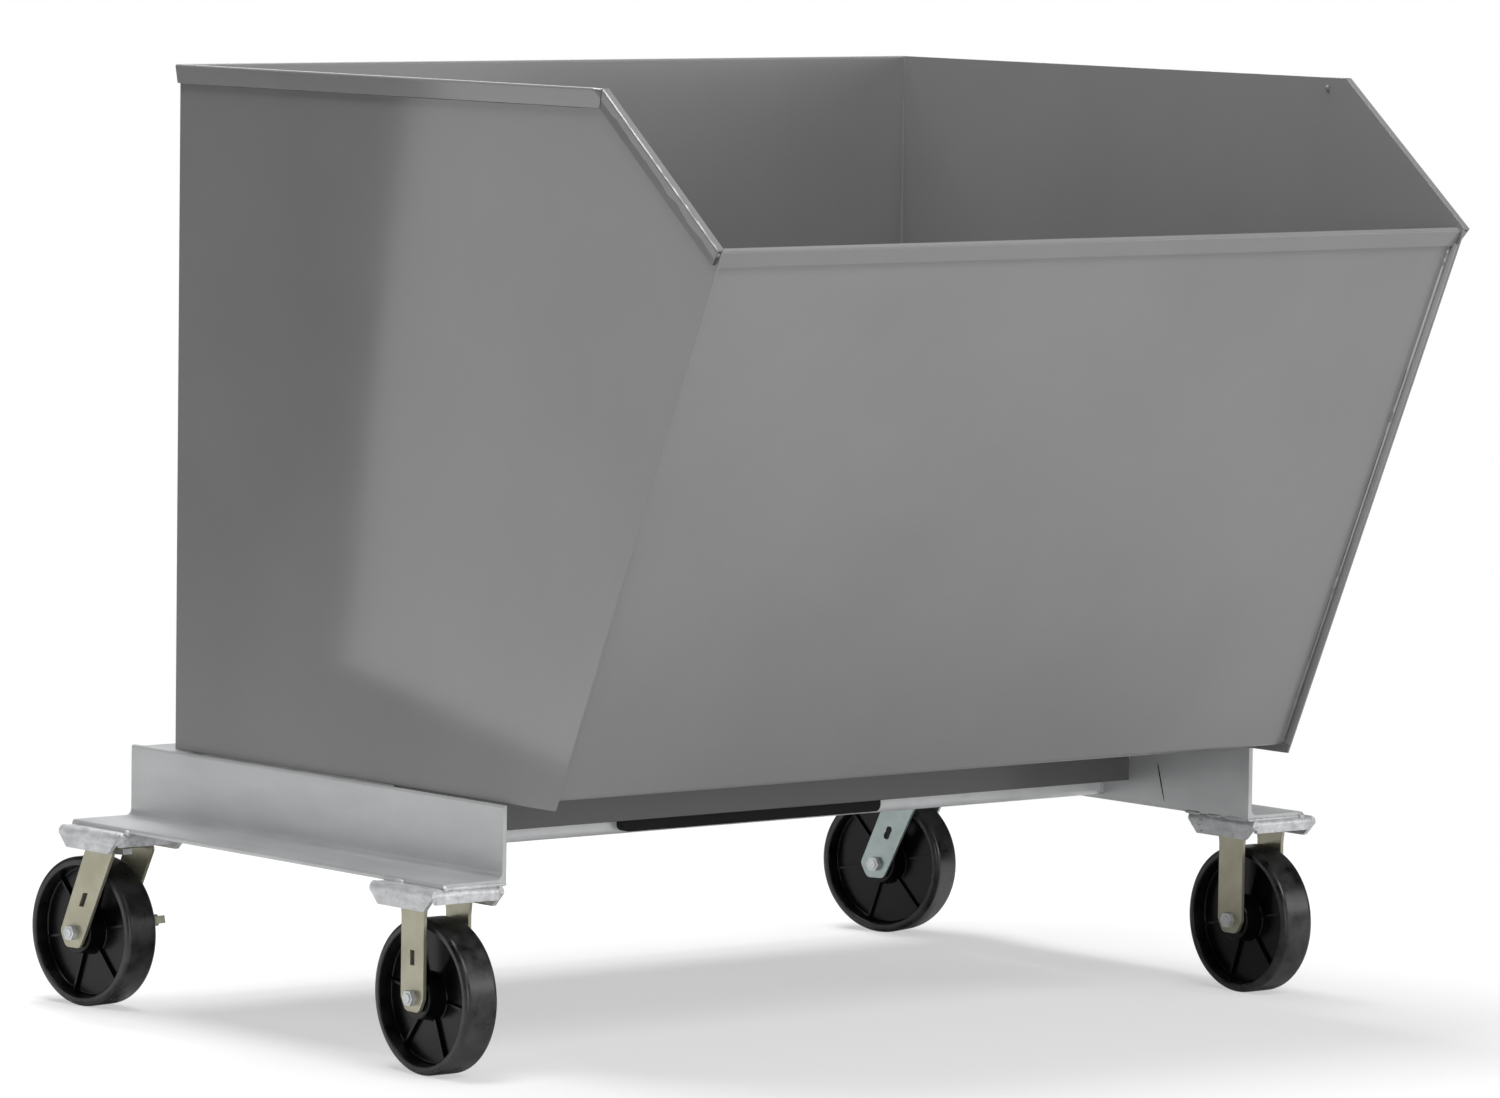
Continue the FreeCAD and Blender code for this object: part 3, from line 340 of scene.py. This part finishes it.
side_low, side_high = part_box("hopper_side_right")
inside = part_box("hopper_front")[1].x
lip = np.array([0, side_low.y, side_low.z + LIP_RISE])
shoulder = np.array([0, side_high.y - RIM_RUN, side_high.z])
rim_slope = (lip - shoulder) / np.linalg.norm(lip - shoulder)
rim_up = np.array([0, rim_slope[2], -rim_slope[1]])


def enamel(name, grey, worn, polish, rolled=False):
    """Sprayed enamel: two near greys and a polish in wide patches, with sheet waves and peel as bump. On a
    rolled skirt the outside's bump also rises by the skirt's lean with the distance below the sloped edge,
    up to a line that wavers."""
    material, tree, place = blank_finish(name)
    clouds = {"Vector": place, "Scale": 1 / ENAMEL_PATCH, "Detail": 5.0}
    patches = add(tree, "TexNoise", clouds).outputs["Fac"]
    share = add(tree, "MapRange", {"Value": patches, **NOISE_SPAN}).outputs["Result"]
    greys = {FACTOR: share, FIRST: linear(worn), SECOND: linear(grey)}
    tone = add(tree, "Mix", greys, data_type="RGBA").outputs[MIXED]
    rough = add(tree, "MapRange", {"Value": patches, **NOISE_SPAN, **polish}).outputs["Result"]
    edge = add(tree, "Bevel", {"Radius": ENAMEL_EDGE}, samples=EDGE_SAMPLES).outputs["Normal"]
    if rolled:
        upward = {0: place, 1: rim_up.tolist()}
        reach = add(tree, "VectorMath", upward, operation="DOT_PRODUCT").outputs["Value"]
        rim_reach = float(rim_up @ shoulder)
        below = add(tree, "Math", {0: rim_reach, 1: reach}, operation="SUBTRACT").outputs["Value"]
        blows = {"Vector": place, "Scale": 1 / SKIRT_WAVE, "Detail": 1.0}
        hammer = add(tree, "TexNoise", blows).outputs["Fac"]
        shifted = {0: hammer, 1: SKIRT_WAVER, 2: below}
        wavering = add(tree, "Math", shifted, operation="MULTIPLY_ADD").outputs["Value"]
        rise = add(tree, "Math", {0: wavering, 1: SKIRT_ROLL}, operation="MINIMUM").outputs["Value"]
        across = add(tree, "SeparateXYZ", {"Vector": place}).outputs["X"]
        aside = add(tree, "Math", {0: across}, operation="ABSOLUTE").outputs["Value"]
        past = {0: aside, 1: inside + OUTSIDE_START}
        outside = add(tree, "Math", past, operation="GREATER_THAN").outputs["Value"]
        roll = {"Height": rise, "Distance": SKIRT_LEAN, "Strength": outside, "Normal": edge}
        edge = add(tree, "Bump", roll).outputs["Normal"]
    swells = {"Vector": place, "Scale": 1 / SHEET_WAVE, "Detail": 0.0}
    waves = add(tree, "TexNoise", swells).outputs["Fac"]
    bow = {"Height": waves, "Distance": SHEET_WAVE_HEIGHT, "Strength": 1.0, "Normal": edge}
    bowed = add(tree, "Bump", bow).outputs["Normal"]
    dimples = {"Vector": place, "Scale": 1 / ENAMEL_PEEL, "Detail": 1.0}
    peel = add(tree, "TexNoise", dimples).outputs["Fac"]
    fine = {"Height": peel, "Distance": ENAMEL_PEEL_HEIGHT, "Strength": 1.0, "Normal": bowed}
    finish = add(tree, "Bump", fine).outputs["Normal"]
    cover(tree, Base_Color=tone, Roughness=rough, IOR=ENAMEL_IOR, Normal=finish)
    return material


hopper_enamel = enamel("grey_enamel", ENAMEL_GREY, ENAMEL_WORN, ENAMEL_SATIN)
dress(["hopper_front", "hopper_floor", "hopper_back"], hopper_enamel)
side_enamel = enamel("rolled_enamel", ENAMEL_GREY, ENAMEL_WORN, ENAMEL_GLOSS, rolled=True)
dress(["hopper_side_left", "hopper_side_right"], side_enamel)
# Painted shade: the pivot channel, lugs and latch keeper take the darker copy of the enamel
painted_shade_enamel = enamel("enamel_painted_shade", PAINTED_SHADE_GREY, PAINTED_SHADE_WORN, ENAMEL_SATIN)
dress(["pivot_channel", "pivot_lugs", "latch_keeper"], painted_shade_enamel)

# Welds of the hopper: lumpy spots outside along the front panel's corners, whole seams inside along the
# corners, single spots that close the folded rims at their ends, and one small knob inside each side near
# the shoulder. All lie under the enamel.
SPOT_BEAD = 0.0025
SEAM_INSET = 0.005
SEAM_BEAD = 0.0022
SEAM_RIPPLE = 0.006
FRONT_BOTTOM = 0.8405
FRONT_INSET = 0.012
FLOOR_RISE = 0.014
RIM_SPOT = 0.003
RIM_SPOT_RUN = 0.005
KNOB = 0.0045
KNOB_BEHIND = 0.0328
KNOB_BELOW = 0.01425

# Where each outer spot starts, as a share of the panel's length, and how long it is
SPOTS = ((0.1, 0.02), (0.3, 0.012), (0.335, 0.009), (0.63, 0.016), (0.925, 0.006), (0.94, 0.006))

foot = np.array([0, side_high.y - FRONT_BOTTOM, side_low.z])
panel_length = np.linalg.norm(lip - foot)
slope = (lip - foot) / panel_length
outward = np.array([0, -slope[2], slope[1]])
panel_foot = foot - outward * FRONT_INSET
inner_foot = panel_foot - outward * SHEET + slope * FLOOR_RISE
inner_lip = inner_foot + slope * (panel_length - 2 * FRONT_INSET)
floor_top = side_low.z + FLOOR_RISE
back_face = side_high.y - SHEET

hopper_beads = []
for out in (-1, 1):
    inward = np.array([-out, 0, 0])
    corner = np.array([out * inside, 0, 0])
    for share, length in SPOTS:
        spot = corner + panel_foot + inward * SEAM_INSET + slope * panel_length * share
        line = [spot, spot + slope * length]
        stitch(hopper_beads, line, outward + inward, SPOT_BEAD, SEAM_RIPPLE)
    seams = [
        ([(0, back_face, floor_top), (0, back_face, side_high.z - SHEET)], (-out, -1, 0)),
        ([(0, inner_foot[1], floor_top), (0, back_face, floor_top)], (-out, 0, 1)),
        ([inner_foot, inner_lip], inward - outward),
    ]
    for path, rise in seams:
        stitch(hopper_beads, corner + np.array(path), rise, SEAM_BEAD, SEAM_RIPPLE)
    for end in (shoulder, lip):
        spot = corner + end + [out * SHEET, 2 * RIM_SPOT, -2 * RIM_SPOT]
        line = [spot, spot + [out * RIM_SPOT_RUN, 0, 0]]
        stitch(hopper_beads, line, (0, 0, 1), RIM_SPOT, SEAM_RIPPLE)
    knob = corner + shoulder + [0, KNOB_BEHIND, -KNOB_BELOW]
    line = [knob, knob + [0, KNOB, 0]]
    stitch(hopper_beads, line, inward, KNOB, SEAM_RIPPLE)

piece("hopper_welds", hopper_beads, hopper_enamel, "hopper")

# Seam sealer: a paste, brushed into both front corners from the panel's foot up to the lip.
# It covers the side panels' edges, which stand proud of the front panel, and a narrow strip of the panel.
# Its grey is painted paler than the enamel: painted light that lifts these shaded edges to the front's
# brightness.
SEALER_PAINTED_LIGHT_PALE = "a4a4a4"
SEALER_PAINTED_LIGHT_DEEP = "989898"
SEALER_WIDTH = 0.0105
SEALER_SHEET = 0.0022
SEALER_SIDES = 20
RIM_SKIRT = 0.025

painted_light_sealer = enamel("sealer_painted_light", SEALER_PAINTED_LIGHT_PALE, SEALER_PAINTED_LIGHT_DEEP, ENAMEL_SATIN)
turn = np.linspace(0, 2 * np.pi, SEALER_SIDES, endpoint=False)[:, None]
strip_ends = [slope * FRONT_INSET, slope * (panel_length - RIM_SKIRT)]
across = np.array([1, 0, 0])
wall = outward * np.cos(turn) * SEALER_WIDTH / 2 + across * np.sin(turn) * SEALER_SHEET / 2
flat = across * np.cos(turn) * SEAM_INSET / 2 - outward * np.sin(turn) * SEALER_SHEET / 2
sealer_strips = []
for out in (-1, 1):
    wall_foot = across * out * inside + panel_foot + outward * FRONT_INSET / 2
    flat_foot = across * out * (inside - SEAM_INSET / 2) + panel_foot
    for section in (wall_foot + wall, flat_foot + flat):
        sealer_strips.append(np.stack([section + end for end in strip_ends]))

piece("seam_sealer", sealer_strips, painted_light_sealer, "hopper")

# Crevices: dark matte lines in the narrow gaps where the folded skirts stand off the panels, and in the
# open stretches of the front seams. They are painted shade for the shade in these gaps; the lip's line
# sits just below the skirt's edge, where that shade shows.
SHADE_AND_DIRT_PALE = "343434"
SHADE_AND_DIRT_DEEP = "262626"
SHADE_AND_DIRT_PATCH = 0.02
SHADE_AND_DIRT_ROUGH = 0.9
SHADE_AND_DIRT_SHINE = 0.2
CREVICE = 0.0009
CREVICE_OUT = 0.0007
CREVICE_RIPPLE = 0.012
LIP_CREVICE = 0.0282
OPEN_SEAM = 0.0005

# Where the front seams are open, from and to, as shares of the panel's length
OPEN_SEAMS = ((0.17, 0.3), (0.34, 0.61), (0.66, 0.73))


def plain_finish(name, pale, deep, patch, rough, metal=0.0, shine=0.5):
    """A plain material of two near tones in small patches."""
    material, tree, place = blank_finish(name)
    clouds = {"Vector": place, "Scale": 1 / patch, "Detail": 3.0}
    patches = add(tree, "TexNoise", clouds).outputs["Fac"]
    tones = {FACTOR: patches, FIRST: linear(deep), SECOND: linear(pale)}
    tone = add(tree, "Mix", tones, data_type="RGBA").outputs[MIXED]
    cover(tree, Base_Color=tone, Roughness=rough, Metallic=metal, Specular_IOR_Level=shine)
    return material


# One dark matte finish: painted shade in the crevices, and real dirt in the rail's score below
shade_and_dirt = plain_finish("painted_shade_and_dirt", SHADE_AND_DIRT_PALE, SHADE_AND_DIRT_DEEP, SHADE_AND_DIRT_PATCH, SHADE_AND_DIRT_ROUGH, shine=SHADE_AND_DIRT_SHINE)
skirt_foot = side_high.z - RIM_SKIRT
lip_gap = panel_foot + slope * (panel_length - LIP_CREVICE)
back_gap = np.array([0, side_high.y + CREVICE_OUT, skirt_foot])
width = np.array([inside, 0, 0])
gaps = [([lip_gap - width, lip_gap + width], outward), ([back_gap - width, back_gap + width], (0, 1, 0))]
for out in (-1, 1):
    outer = np.array([out * (inside + SHEET + CREVICE_OUT), 0, 0])
    level_gap = [outer + [0, side_high.y, skirt_foot], outer + shoulder - [0, 0, RIM_SKIRT]]
    sloped_gap = [outer + end - rim_up * RIM_SKIRT for end in (shoulder, lip)]
    gaps += [(level_gap, (out, 0, 0)), (sloped_gap, (out, 0, 0))]

painted_shade_lines = []
for path, rise in gaps:
    stitch(painted_shade_lines, path, rise, CREVICE, CREVICE_RIPPLE)
for out in (-1, 1):
    seam_foot = np.array([out * (inside - SEAM_INSET), 0, 0]) + panel_foot
    for shares in OPEN_SEAMS:
        line = [seam_foot + slope * panel_length * share for share in shares]
        stitch(painted_shade_lines, line, outward, OPEN_SEAM, CREVICE_RIPPLE)

piece("crevice_painted_shade", painted_shade_lines, shade_and_dirt, "hopper")

# Score on the right rail: a thin scratch down the rail's inner face, cut into the zinc after the frame was
# made and darkened by dirt since. Its ends are placed from the rail's front end and underside.
SCORE = 0.0009
SCORE_ENDS = ((0.1739, 0.00935), (0.1889, 0.06035))
SCORE_SEED = 7

rail_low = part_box("rail_right")[0]
score_line = [(rail_low.x, rail_low.y + behind, rail_low.z + above) for behind, above in SCORE_ENDS]
score = bead(score_line, (-1, 0, 0), SCORE, CREVICE_RIPPLE, SCORE_SEED)
piece("rail_score", [score], shade_and_dirt, "base")

# Caster forks: legs and crowns pressed from steel plate and zinc plated. The rigid pair and the rear left
# one came out of a bath that left a warm straw tint, and the rear right one is a cooler bluish white. The
# plate's rolling lines are drawn coarser than real so that they show.
PLATE_WARM = "9d9a88"
PLATE_WARM_DEEP = "928f7c"
PLATE_COOL = "a2aeac"
PLATE_COOL_DEEP = "95a19f"
PLATE_METAL = 0.6
PLATE_ROUGH = 0.28
PLATE_PATCH = 0.035
PLATE_LINE = 0.0012
PLATE_LINE_HEIGHT = 0.00001
PLATE_DRAW = (1.0, 1.0, 0.05)
BLOTCH_SPAN = {"From Min": 0.35, "From Max": 0.65}


def plated_zinc(name, pale, deep):
    """Electroplated zinc: a smooth tint in soft patches over fine rolling lines that run up and down."""
    material, tree, place = blank_finish(name)
    clouds = {"Vector": place, "Scale": 1 / PLATE_PATCH, "Detail": 3.0}
    patches = add(tree, "TexNoise", clouds).outputs["Fac"]
    share = add(tree, "MapRange", {"Value": patches, **BLOTCH_SPAN}).outputs["Result"]
    tints = {FACTOR: share, FIRST: linear(deep), SECOND: linear(pale)}
    tint = add(tree, "Mix", tints, data_type="RGBA").outputs[MIXED]
    drawn = add(tree, "Mapping", {"Vector": place, "Scale": PLATE_DRAW}).outputs["Vector"]
    rolling = {"Vector": drawn, "Scale": 1 / PLATE_LINE, "Detail": 2.0}
    lines = add(tree, "TexNoise", rolling).outputs["Fac"]
    edge = add(tree, "Bevel", {"Radius": ZINC_EDGE}, samples=EDGE_SAMPLES).outputs["Normal"]
    fine = {"Height": lines, "Distance": PLATE_LINE_HEIGHT, "Strength": 1.0, "Normal": edge}
    finish = add(tree, "Bump", fine).outputs["Normal"]
    cover(tree, Base_Color=tint, Metallic=PLATE_METAL, Roughness=PLATE_ROUGH, Normal=finish)
    return material


warm_plate = plated_zinc("straw_zinc_plate", PLATE_WARM, PLATE_WARM_DEEP)
cool_plate = plated_zinc("blue_zinc_plate", PLATE_COOL, PLATE_COOL_DEEP)
dress(["rigid_fork_left", "rigid_fork_right", "swivel_fork_left", "swivel_plate_left"], warm_plate)
dress(["brake_lever", "brake_cam"], warm_plate)
dress(["swivel_fork_right", "swivel_plate_right"], cool_plate)

# Axles and kingpins: hexagon bolts, nuts and pins of plain steel with a bright clear zinc plate.
# They are paler than the forks, and the hidden tubes, balls and shaft are turned bright steel.
BOLT_PALE = "c9cccd"
BOLT_DEEP = "a5a8aa"
STEEL_PALE = "bcbcbe"
STEEL_DEEP = "9c9c9f"

bolt_plate = plated_zinc("clear_zinc_plate", BOLT_PALE, BOLT_DEEP)
dress(["front_axle_bolts", "front_axle_nuts", "kingpins", "kingpin_nuts", "latch_pin"], bolt_plate)
bright_steel = plated_zinc("turned_steel", STEEL_PALE, STEEL_DEEP)
dress(["front_axle_tubes", "pivot_shaft"], bright_steel)
for side in ("left", "right"):
    dress(["rear_axle_bolt_" + side, "rear_axle_nut_" + side], bolt_plate)
    dress(["rear_axle_tube_" + side, "swivel_balls_" + side], bright_steel)

# Wheels: one-piece mouldings of black polyolefin, with ribbed faces and a hard rounded tread. The faces
# keep the mould's low gloss, and the tread turns a soft dark grey in scuffed patches where it rolls:
# partly real scuffing, partly a painted sheen. The mould's grain is drawn coarser than real so that it
# shows.
WHEEL_BLACK = "060607"
WHEEL_SCUFF_AND_SHEEN = "2c2c2e"
WHEEL_IOR = 1.42
WHEEL_ROUGH = {"To Min": 0.27, "To Max": 0.38}
WHEEL_SHINE = {"To Min": 0.28, "To Max": 0.62}
WHEEL_SCUFF = 0.02
WHEEL_GRAIN = 0.003
WHEEL_GRAIN_HEIGHT = 0.00003
TREAD_SPAN = {"From Min": 0.088, "From Max": 0.099}


def moulded_black(name, middle):
    """Black moulding: shine grows with the distance from the wheel's middle, and so does a rougher grey in
    scuffed patches, which is partly real scuffing and partly a painted sheen."""
    material, tree, place = blank_finish(name)
    moved = add(tree, "Mapping", {"Vector": place, "Location": tuple(-middle)}).outputs["Vector"]
    reach = add(tree, "VectorMath", {0: moved}, operation="LENGTH").outputs["Value"]
    worn = add(tree, "MapRange", {"Value": reach, **TREAD_SPAN}).outputs["Result"]
    rubs = {"Vector": place, "Scale": 1 / WHEEL_SCUFF, "Detail": 5.0}
    scuffs = add(tree, "TexNoise", rubs).outputs["Fac"]
    patchy = add(tree, "MapRange", {"Value": scuffs, **BLOTCH_SPAN}).outputs["Result"]
    share = add(tree, "Math", {0: worn, 1: patchy}, operation="MULTIPLY").outputs["Value"]
    tones = {FACTOR: share, FIRST: linear(WHEEL_BLACK), SECOND: linear(WHEEL_SCUFF_AND_SHEEN)}
    tone = add(tree, "Mix", tones, data_type="RGBA").outputs[MIXED]
    rough = add(tree, "MapRange", {"Value": share, **WHEEL_ROUGH}).outputs["Result"]
    shine = add(tree, "MapRange", {"Value": worn, **WHEEL_SHINE}).outputs["Result"]
    grit = {"Vector": place, "Scale": 1 / WHEEL_GRAIN, "Detail": 2.0}
    grains = add(tree, "TexNoise", grit).outputs["Fac"]
    fine = {"Height": grains, "Distance": WHEEL_GRAIN_HEIGHT, "Strength": 1.0}
    finish = add(tree, "Bump", fine).outputs["Normal"]
    cover(tree, Base_Color=tone, Roughness=rough, IOR=WHEEL_IOR, Specular_IOR_Level=shine, Normal=finish)
    return material


for end, side in CORNERS:
    wheel = "%s_wheel_%s" % (end, side)
    wheel_middle = np.mean(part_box(wheel), axis=0)
    dress([wheel], moulded_black("black_moulding_%s_%s" % (end, side), wheel_middle))

# Bearing sleeves: plain bushes of pale nylon, smooth and faintly waxy.
# Each is moulded and then pressed into a wheel's hub, where it turns on the axle tube.
SLEEVE_PALE = "cfccc2"
SLEEVE_DEEP = "c2beb2"
SLEEVE_PATCH = 0.01
SLEEVE_ROUGH = 0.45

nylon = plain_finish("nylon_sleeve", SLEEVE_PALE, SLEEVE_DEEP, SLEEVE_PATCH, SLEEVE_ROUGH)
dress(["%s_bearing_%s" % corner for corner in CORNERS], nylon)

# Pivot bushes: flanged bushes of sintered bronze, pressed into the bosses on the rails.
# They are a dull brown gold with fine open pores.
BRONZE_PALE = "b08d57"
BRONZE_DEEP = "94713f"
BRONZE_PORE = 0.002
BRONZE_ROUGH = 0.5

bronze = plain_finish("sintered_bronze", BRONZE_PALE, BRONZE_DEEP, BRONZE_PORE, BRONZE_ROUGH, metal=1.0)
dress(["pivot_bush_left", "pivot_bush_right"], bronze)

# Rubber: the tip buffer on the cross beam, the two rests under the hopper's floor and the latch's grip.
# All are moulded black rubber with a dry bloom that lifts the black to a soft dark grey. The tip buffer's
# black, seen in the beam's notch, is also painted shade: it stands for the shade under the hopper there.
RUBBER_BLACK = "0e0e0e"
RUBBER_BLOOM = "171717"
RUBBER_PATCH = 0.015
RUBBER_ROUGH = 0.62
RUBBER_SHINE = 0.25

rubber_skin = (RUBBER_BLOOM, RUBBER_BLACK, RUBBER_PATCH, RUBBER_ROUGH)
rubber = plain_finish("moulded_rubber", *rubber_skin, shine=RUBBER_SHINE)
dress(["tip_buffer", "floor_rests", "latch_grip"], rubber)

# Tip latch: a bracket and a hook lever cut from steel plate and galvanised like the frame.
# The bracket stands on the rear cross angle and holds the lever on a pin.
dress(["latch_bracket", "latch_lever"], rail_zinc)

# Studio floor: a pale matte sheet that keeps the object's soft shadow. To the camera part of it glows
# white, and more of it with distance, so that it runs out into a plain white background.
FLOOR_REACH = 14.0
FLOOR_WHITE = "f2f2f2"
SHADOW_SPAN = {"From Min": 1.2, "From Max": 3.0}
SHADOW_GLOW = {"To Min": 0.5, "To Max": 1.0}

material, tree, place = blank_finish("studio_floor")
reach = add(tree, "VectorMath", {0: place}, operation="LENGTH").outputs["Value"]
fade = {"Value": reach, **SHADOW_SPAN, **SHADOW_GLOW}
glow_share = add(tree, "MapRange", fade, interpolation_type="SMOOTHSTEP").outputs["Result"]
seen = add(tree, "LightPath").outputs["Is Camera Ray"]
seen_glow = add(tree, "Math", {0: seen, 1: glow_share}, operation="MULTIPLY").outputs["Value"]
matte = add(tree, "BsdfDiffuse", {"Color": linear(FLOOR_WHITE)}).outputs["BSDF"]
glow = add(tree, "Emission", {"Strength": 1.0}).outputs["Emission"]
mixed = add(tree, "MixShader", {"Fac": seen_glow, 1: matte, 2: glow}).outputs["Shader"]
add(tree, "OutputMaterial", {"Surface": mixed})
floor_corners = np.array([(-1, -1, 0), (1, -1, 0), (1, 1, 0), (-1, 1, 0)]) * FLOOR_REACH
sheet = bpy.data.meshes.new("studio_floor")
sheet.from_pydata(floor_corners.tolist(), [], [(0, 1, 2, 3)])
sheet.materials.append(material)
floor = bpy.data.objects.new("studio_floor", sheet)
bpy.context.scene.collection.objects.link(floor)

# Studio light: a faint even dome, soft lamps in front, high in front, overhead, behind and at either side,
# and a weak card far back on the right. A light wall stands back on the left, and its leaning edge shows
# in the left panel's gloss.
DOME_WHITE = "ffffff"
DOME_LIGHT = {"To Min": 0.07, "To Max": 1.0}

# Each lamp's place and aim, its width and height in metres, its power in watts and its lean in degrees
LAMPS = {
    "front_lamp": ((2.6, -5.2, 1.6), (0.0, -0.3, 0.6), (3.2, 1.2), 52.0, 0.0),
    "high_lamp": ((-0.4, -4.2, 4.2), (0.0, 0.2, 0.9), (3.0, 1.6), 122.0, 0.0),
    "top_lamp": ((-0.75, 0.0, 4.4), (-0.2, 0.1, 0.8), (1.7, 3.2), 188.0, 0.0),
    "rear_lamp": ((0.4, 1.9, 3.8), (-0.2, 1.7, 0.0), (1.6, 1.2), 100.0, 0.0),
    "left_fill": ((-4.2, -5.0, 0.9), (0.6, 0.0, 0.3), (2.4, 1.2), 62.0, 0.0),
    "right_fill": ((4.3, -4.2, 2.2), (0.6, 0.0, 0.3), (1.8, 2.4), 46.0, 0.0),
    "back_card": ((4.2, 5.2, 1.9), (0.0, 0.0, 1.2), (5.0, 1.0), 16.0, 0.0),
    "left_wall": ((-2.42, 1.85, 0.69), (0.0, 1.85, 0.69), (1.25, 1.24), 7.0, -10.0),
}

world = bpy.data.worlds.new("studio_dome")
world.use_nodes = True
tree = world.node_tree
tree.nodes.clear()
seen = add(tree, "LightPath").outputs["Is Camera Ray"]
strength = add(tree, "MapRange", {"Value": seen, **DOME_LIGHT}).outputs["Result"]
dome = add(tree, "Background", {"Color": linear(DOME_WHITE), "Strength": strength}).outputs["Background"]
add(tree, "OutputWorld", {"Surface": dome})
bpy.context.scene.world = world

for name, (stand, aim, size, power, lean) in LAMPS.items():
    light = bpy.data.lights.new(name, "AREA")
    light.shape = "RECTANGLE"
    light.size, light.size_y = size
    light.energy = power
    lamp = bpy.data.objects.new(name, light)
    lamp.visible_camera = False
    bpy.context.scene.collection.objects.link(lamp)
    lamp.location = stand
    lamp.rotation_mode = "QUATERNION"
    facing = (Vector(aim) - Vector(stand)).to_track_quat("-Z", "Y")
    leaning = Matrix.Rotation(math.radians(lean), 4, "Z").to_quaternion()
    lamp.rotation_quaternion = facing @ leaning

# Camera: a long lens far off to the front left, a little above the rim, as the photograph was taken.
# It is turned by a yaw to the right of straight ahead, a pitch from level and a roll about its own line.
CAMERA_PLACE = (-7.2628, -8.9945, 1.6450)
CAMERA_YAW = 38.77
CAMERA_PITCH = -5.016
CAMERA_ROLL = 0.762
CAMERA_LENS = 206.93
CAMERA_REACH = 100.0
SENSOR = 36.0

lens = bpy.data.cameras.new("camera")
lens.sensor_fit = "HORIZONTAL"
lens.sensor_width = SENSOR
lens.lens = CAMERA_LENS
lens.clip_end = CAMERA_REACH
camera = bpy.data.objects.new("camera", lens)
bpy.context.scene.collection.objects.link(camera)
yaw, pitch, roll = (math.radians(angle) for angle in (CAMERA_YAW, CAMERA_PITCH, CAMERA_ROLL))
ahead = np.array([math.sin(yaw) * math.cos(pitch), math.cos(yaw) * math.cos(pitch), math.sin(pitch)])
level_right = np.array([math.cos(yaw), -math.sin(yaw), 0.0])
level_up = np.cross(level_right, ahead)
right = math.cos(roll) * level_right + math.sin(roll) * level_up
up = np.cross(right, ahead)
axes = np.stack([right, up, -ahead], axis=1)
camera.matrix_world = Matrix.LocRotScale(CAMERA_PLACE, Matrix(axes.tolist()), None)
bpy.context.scene.camera = camera

bpy.context.scene.view_settings.view_transform = "Standard"
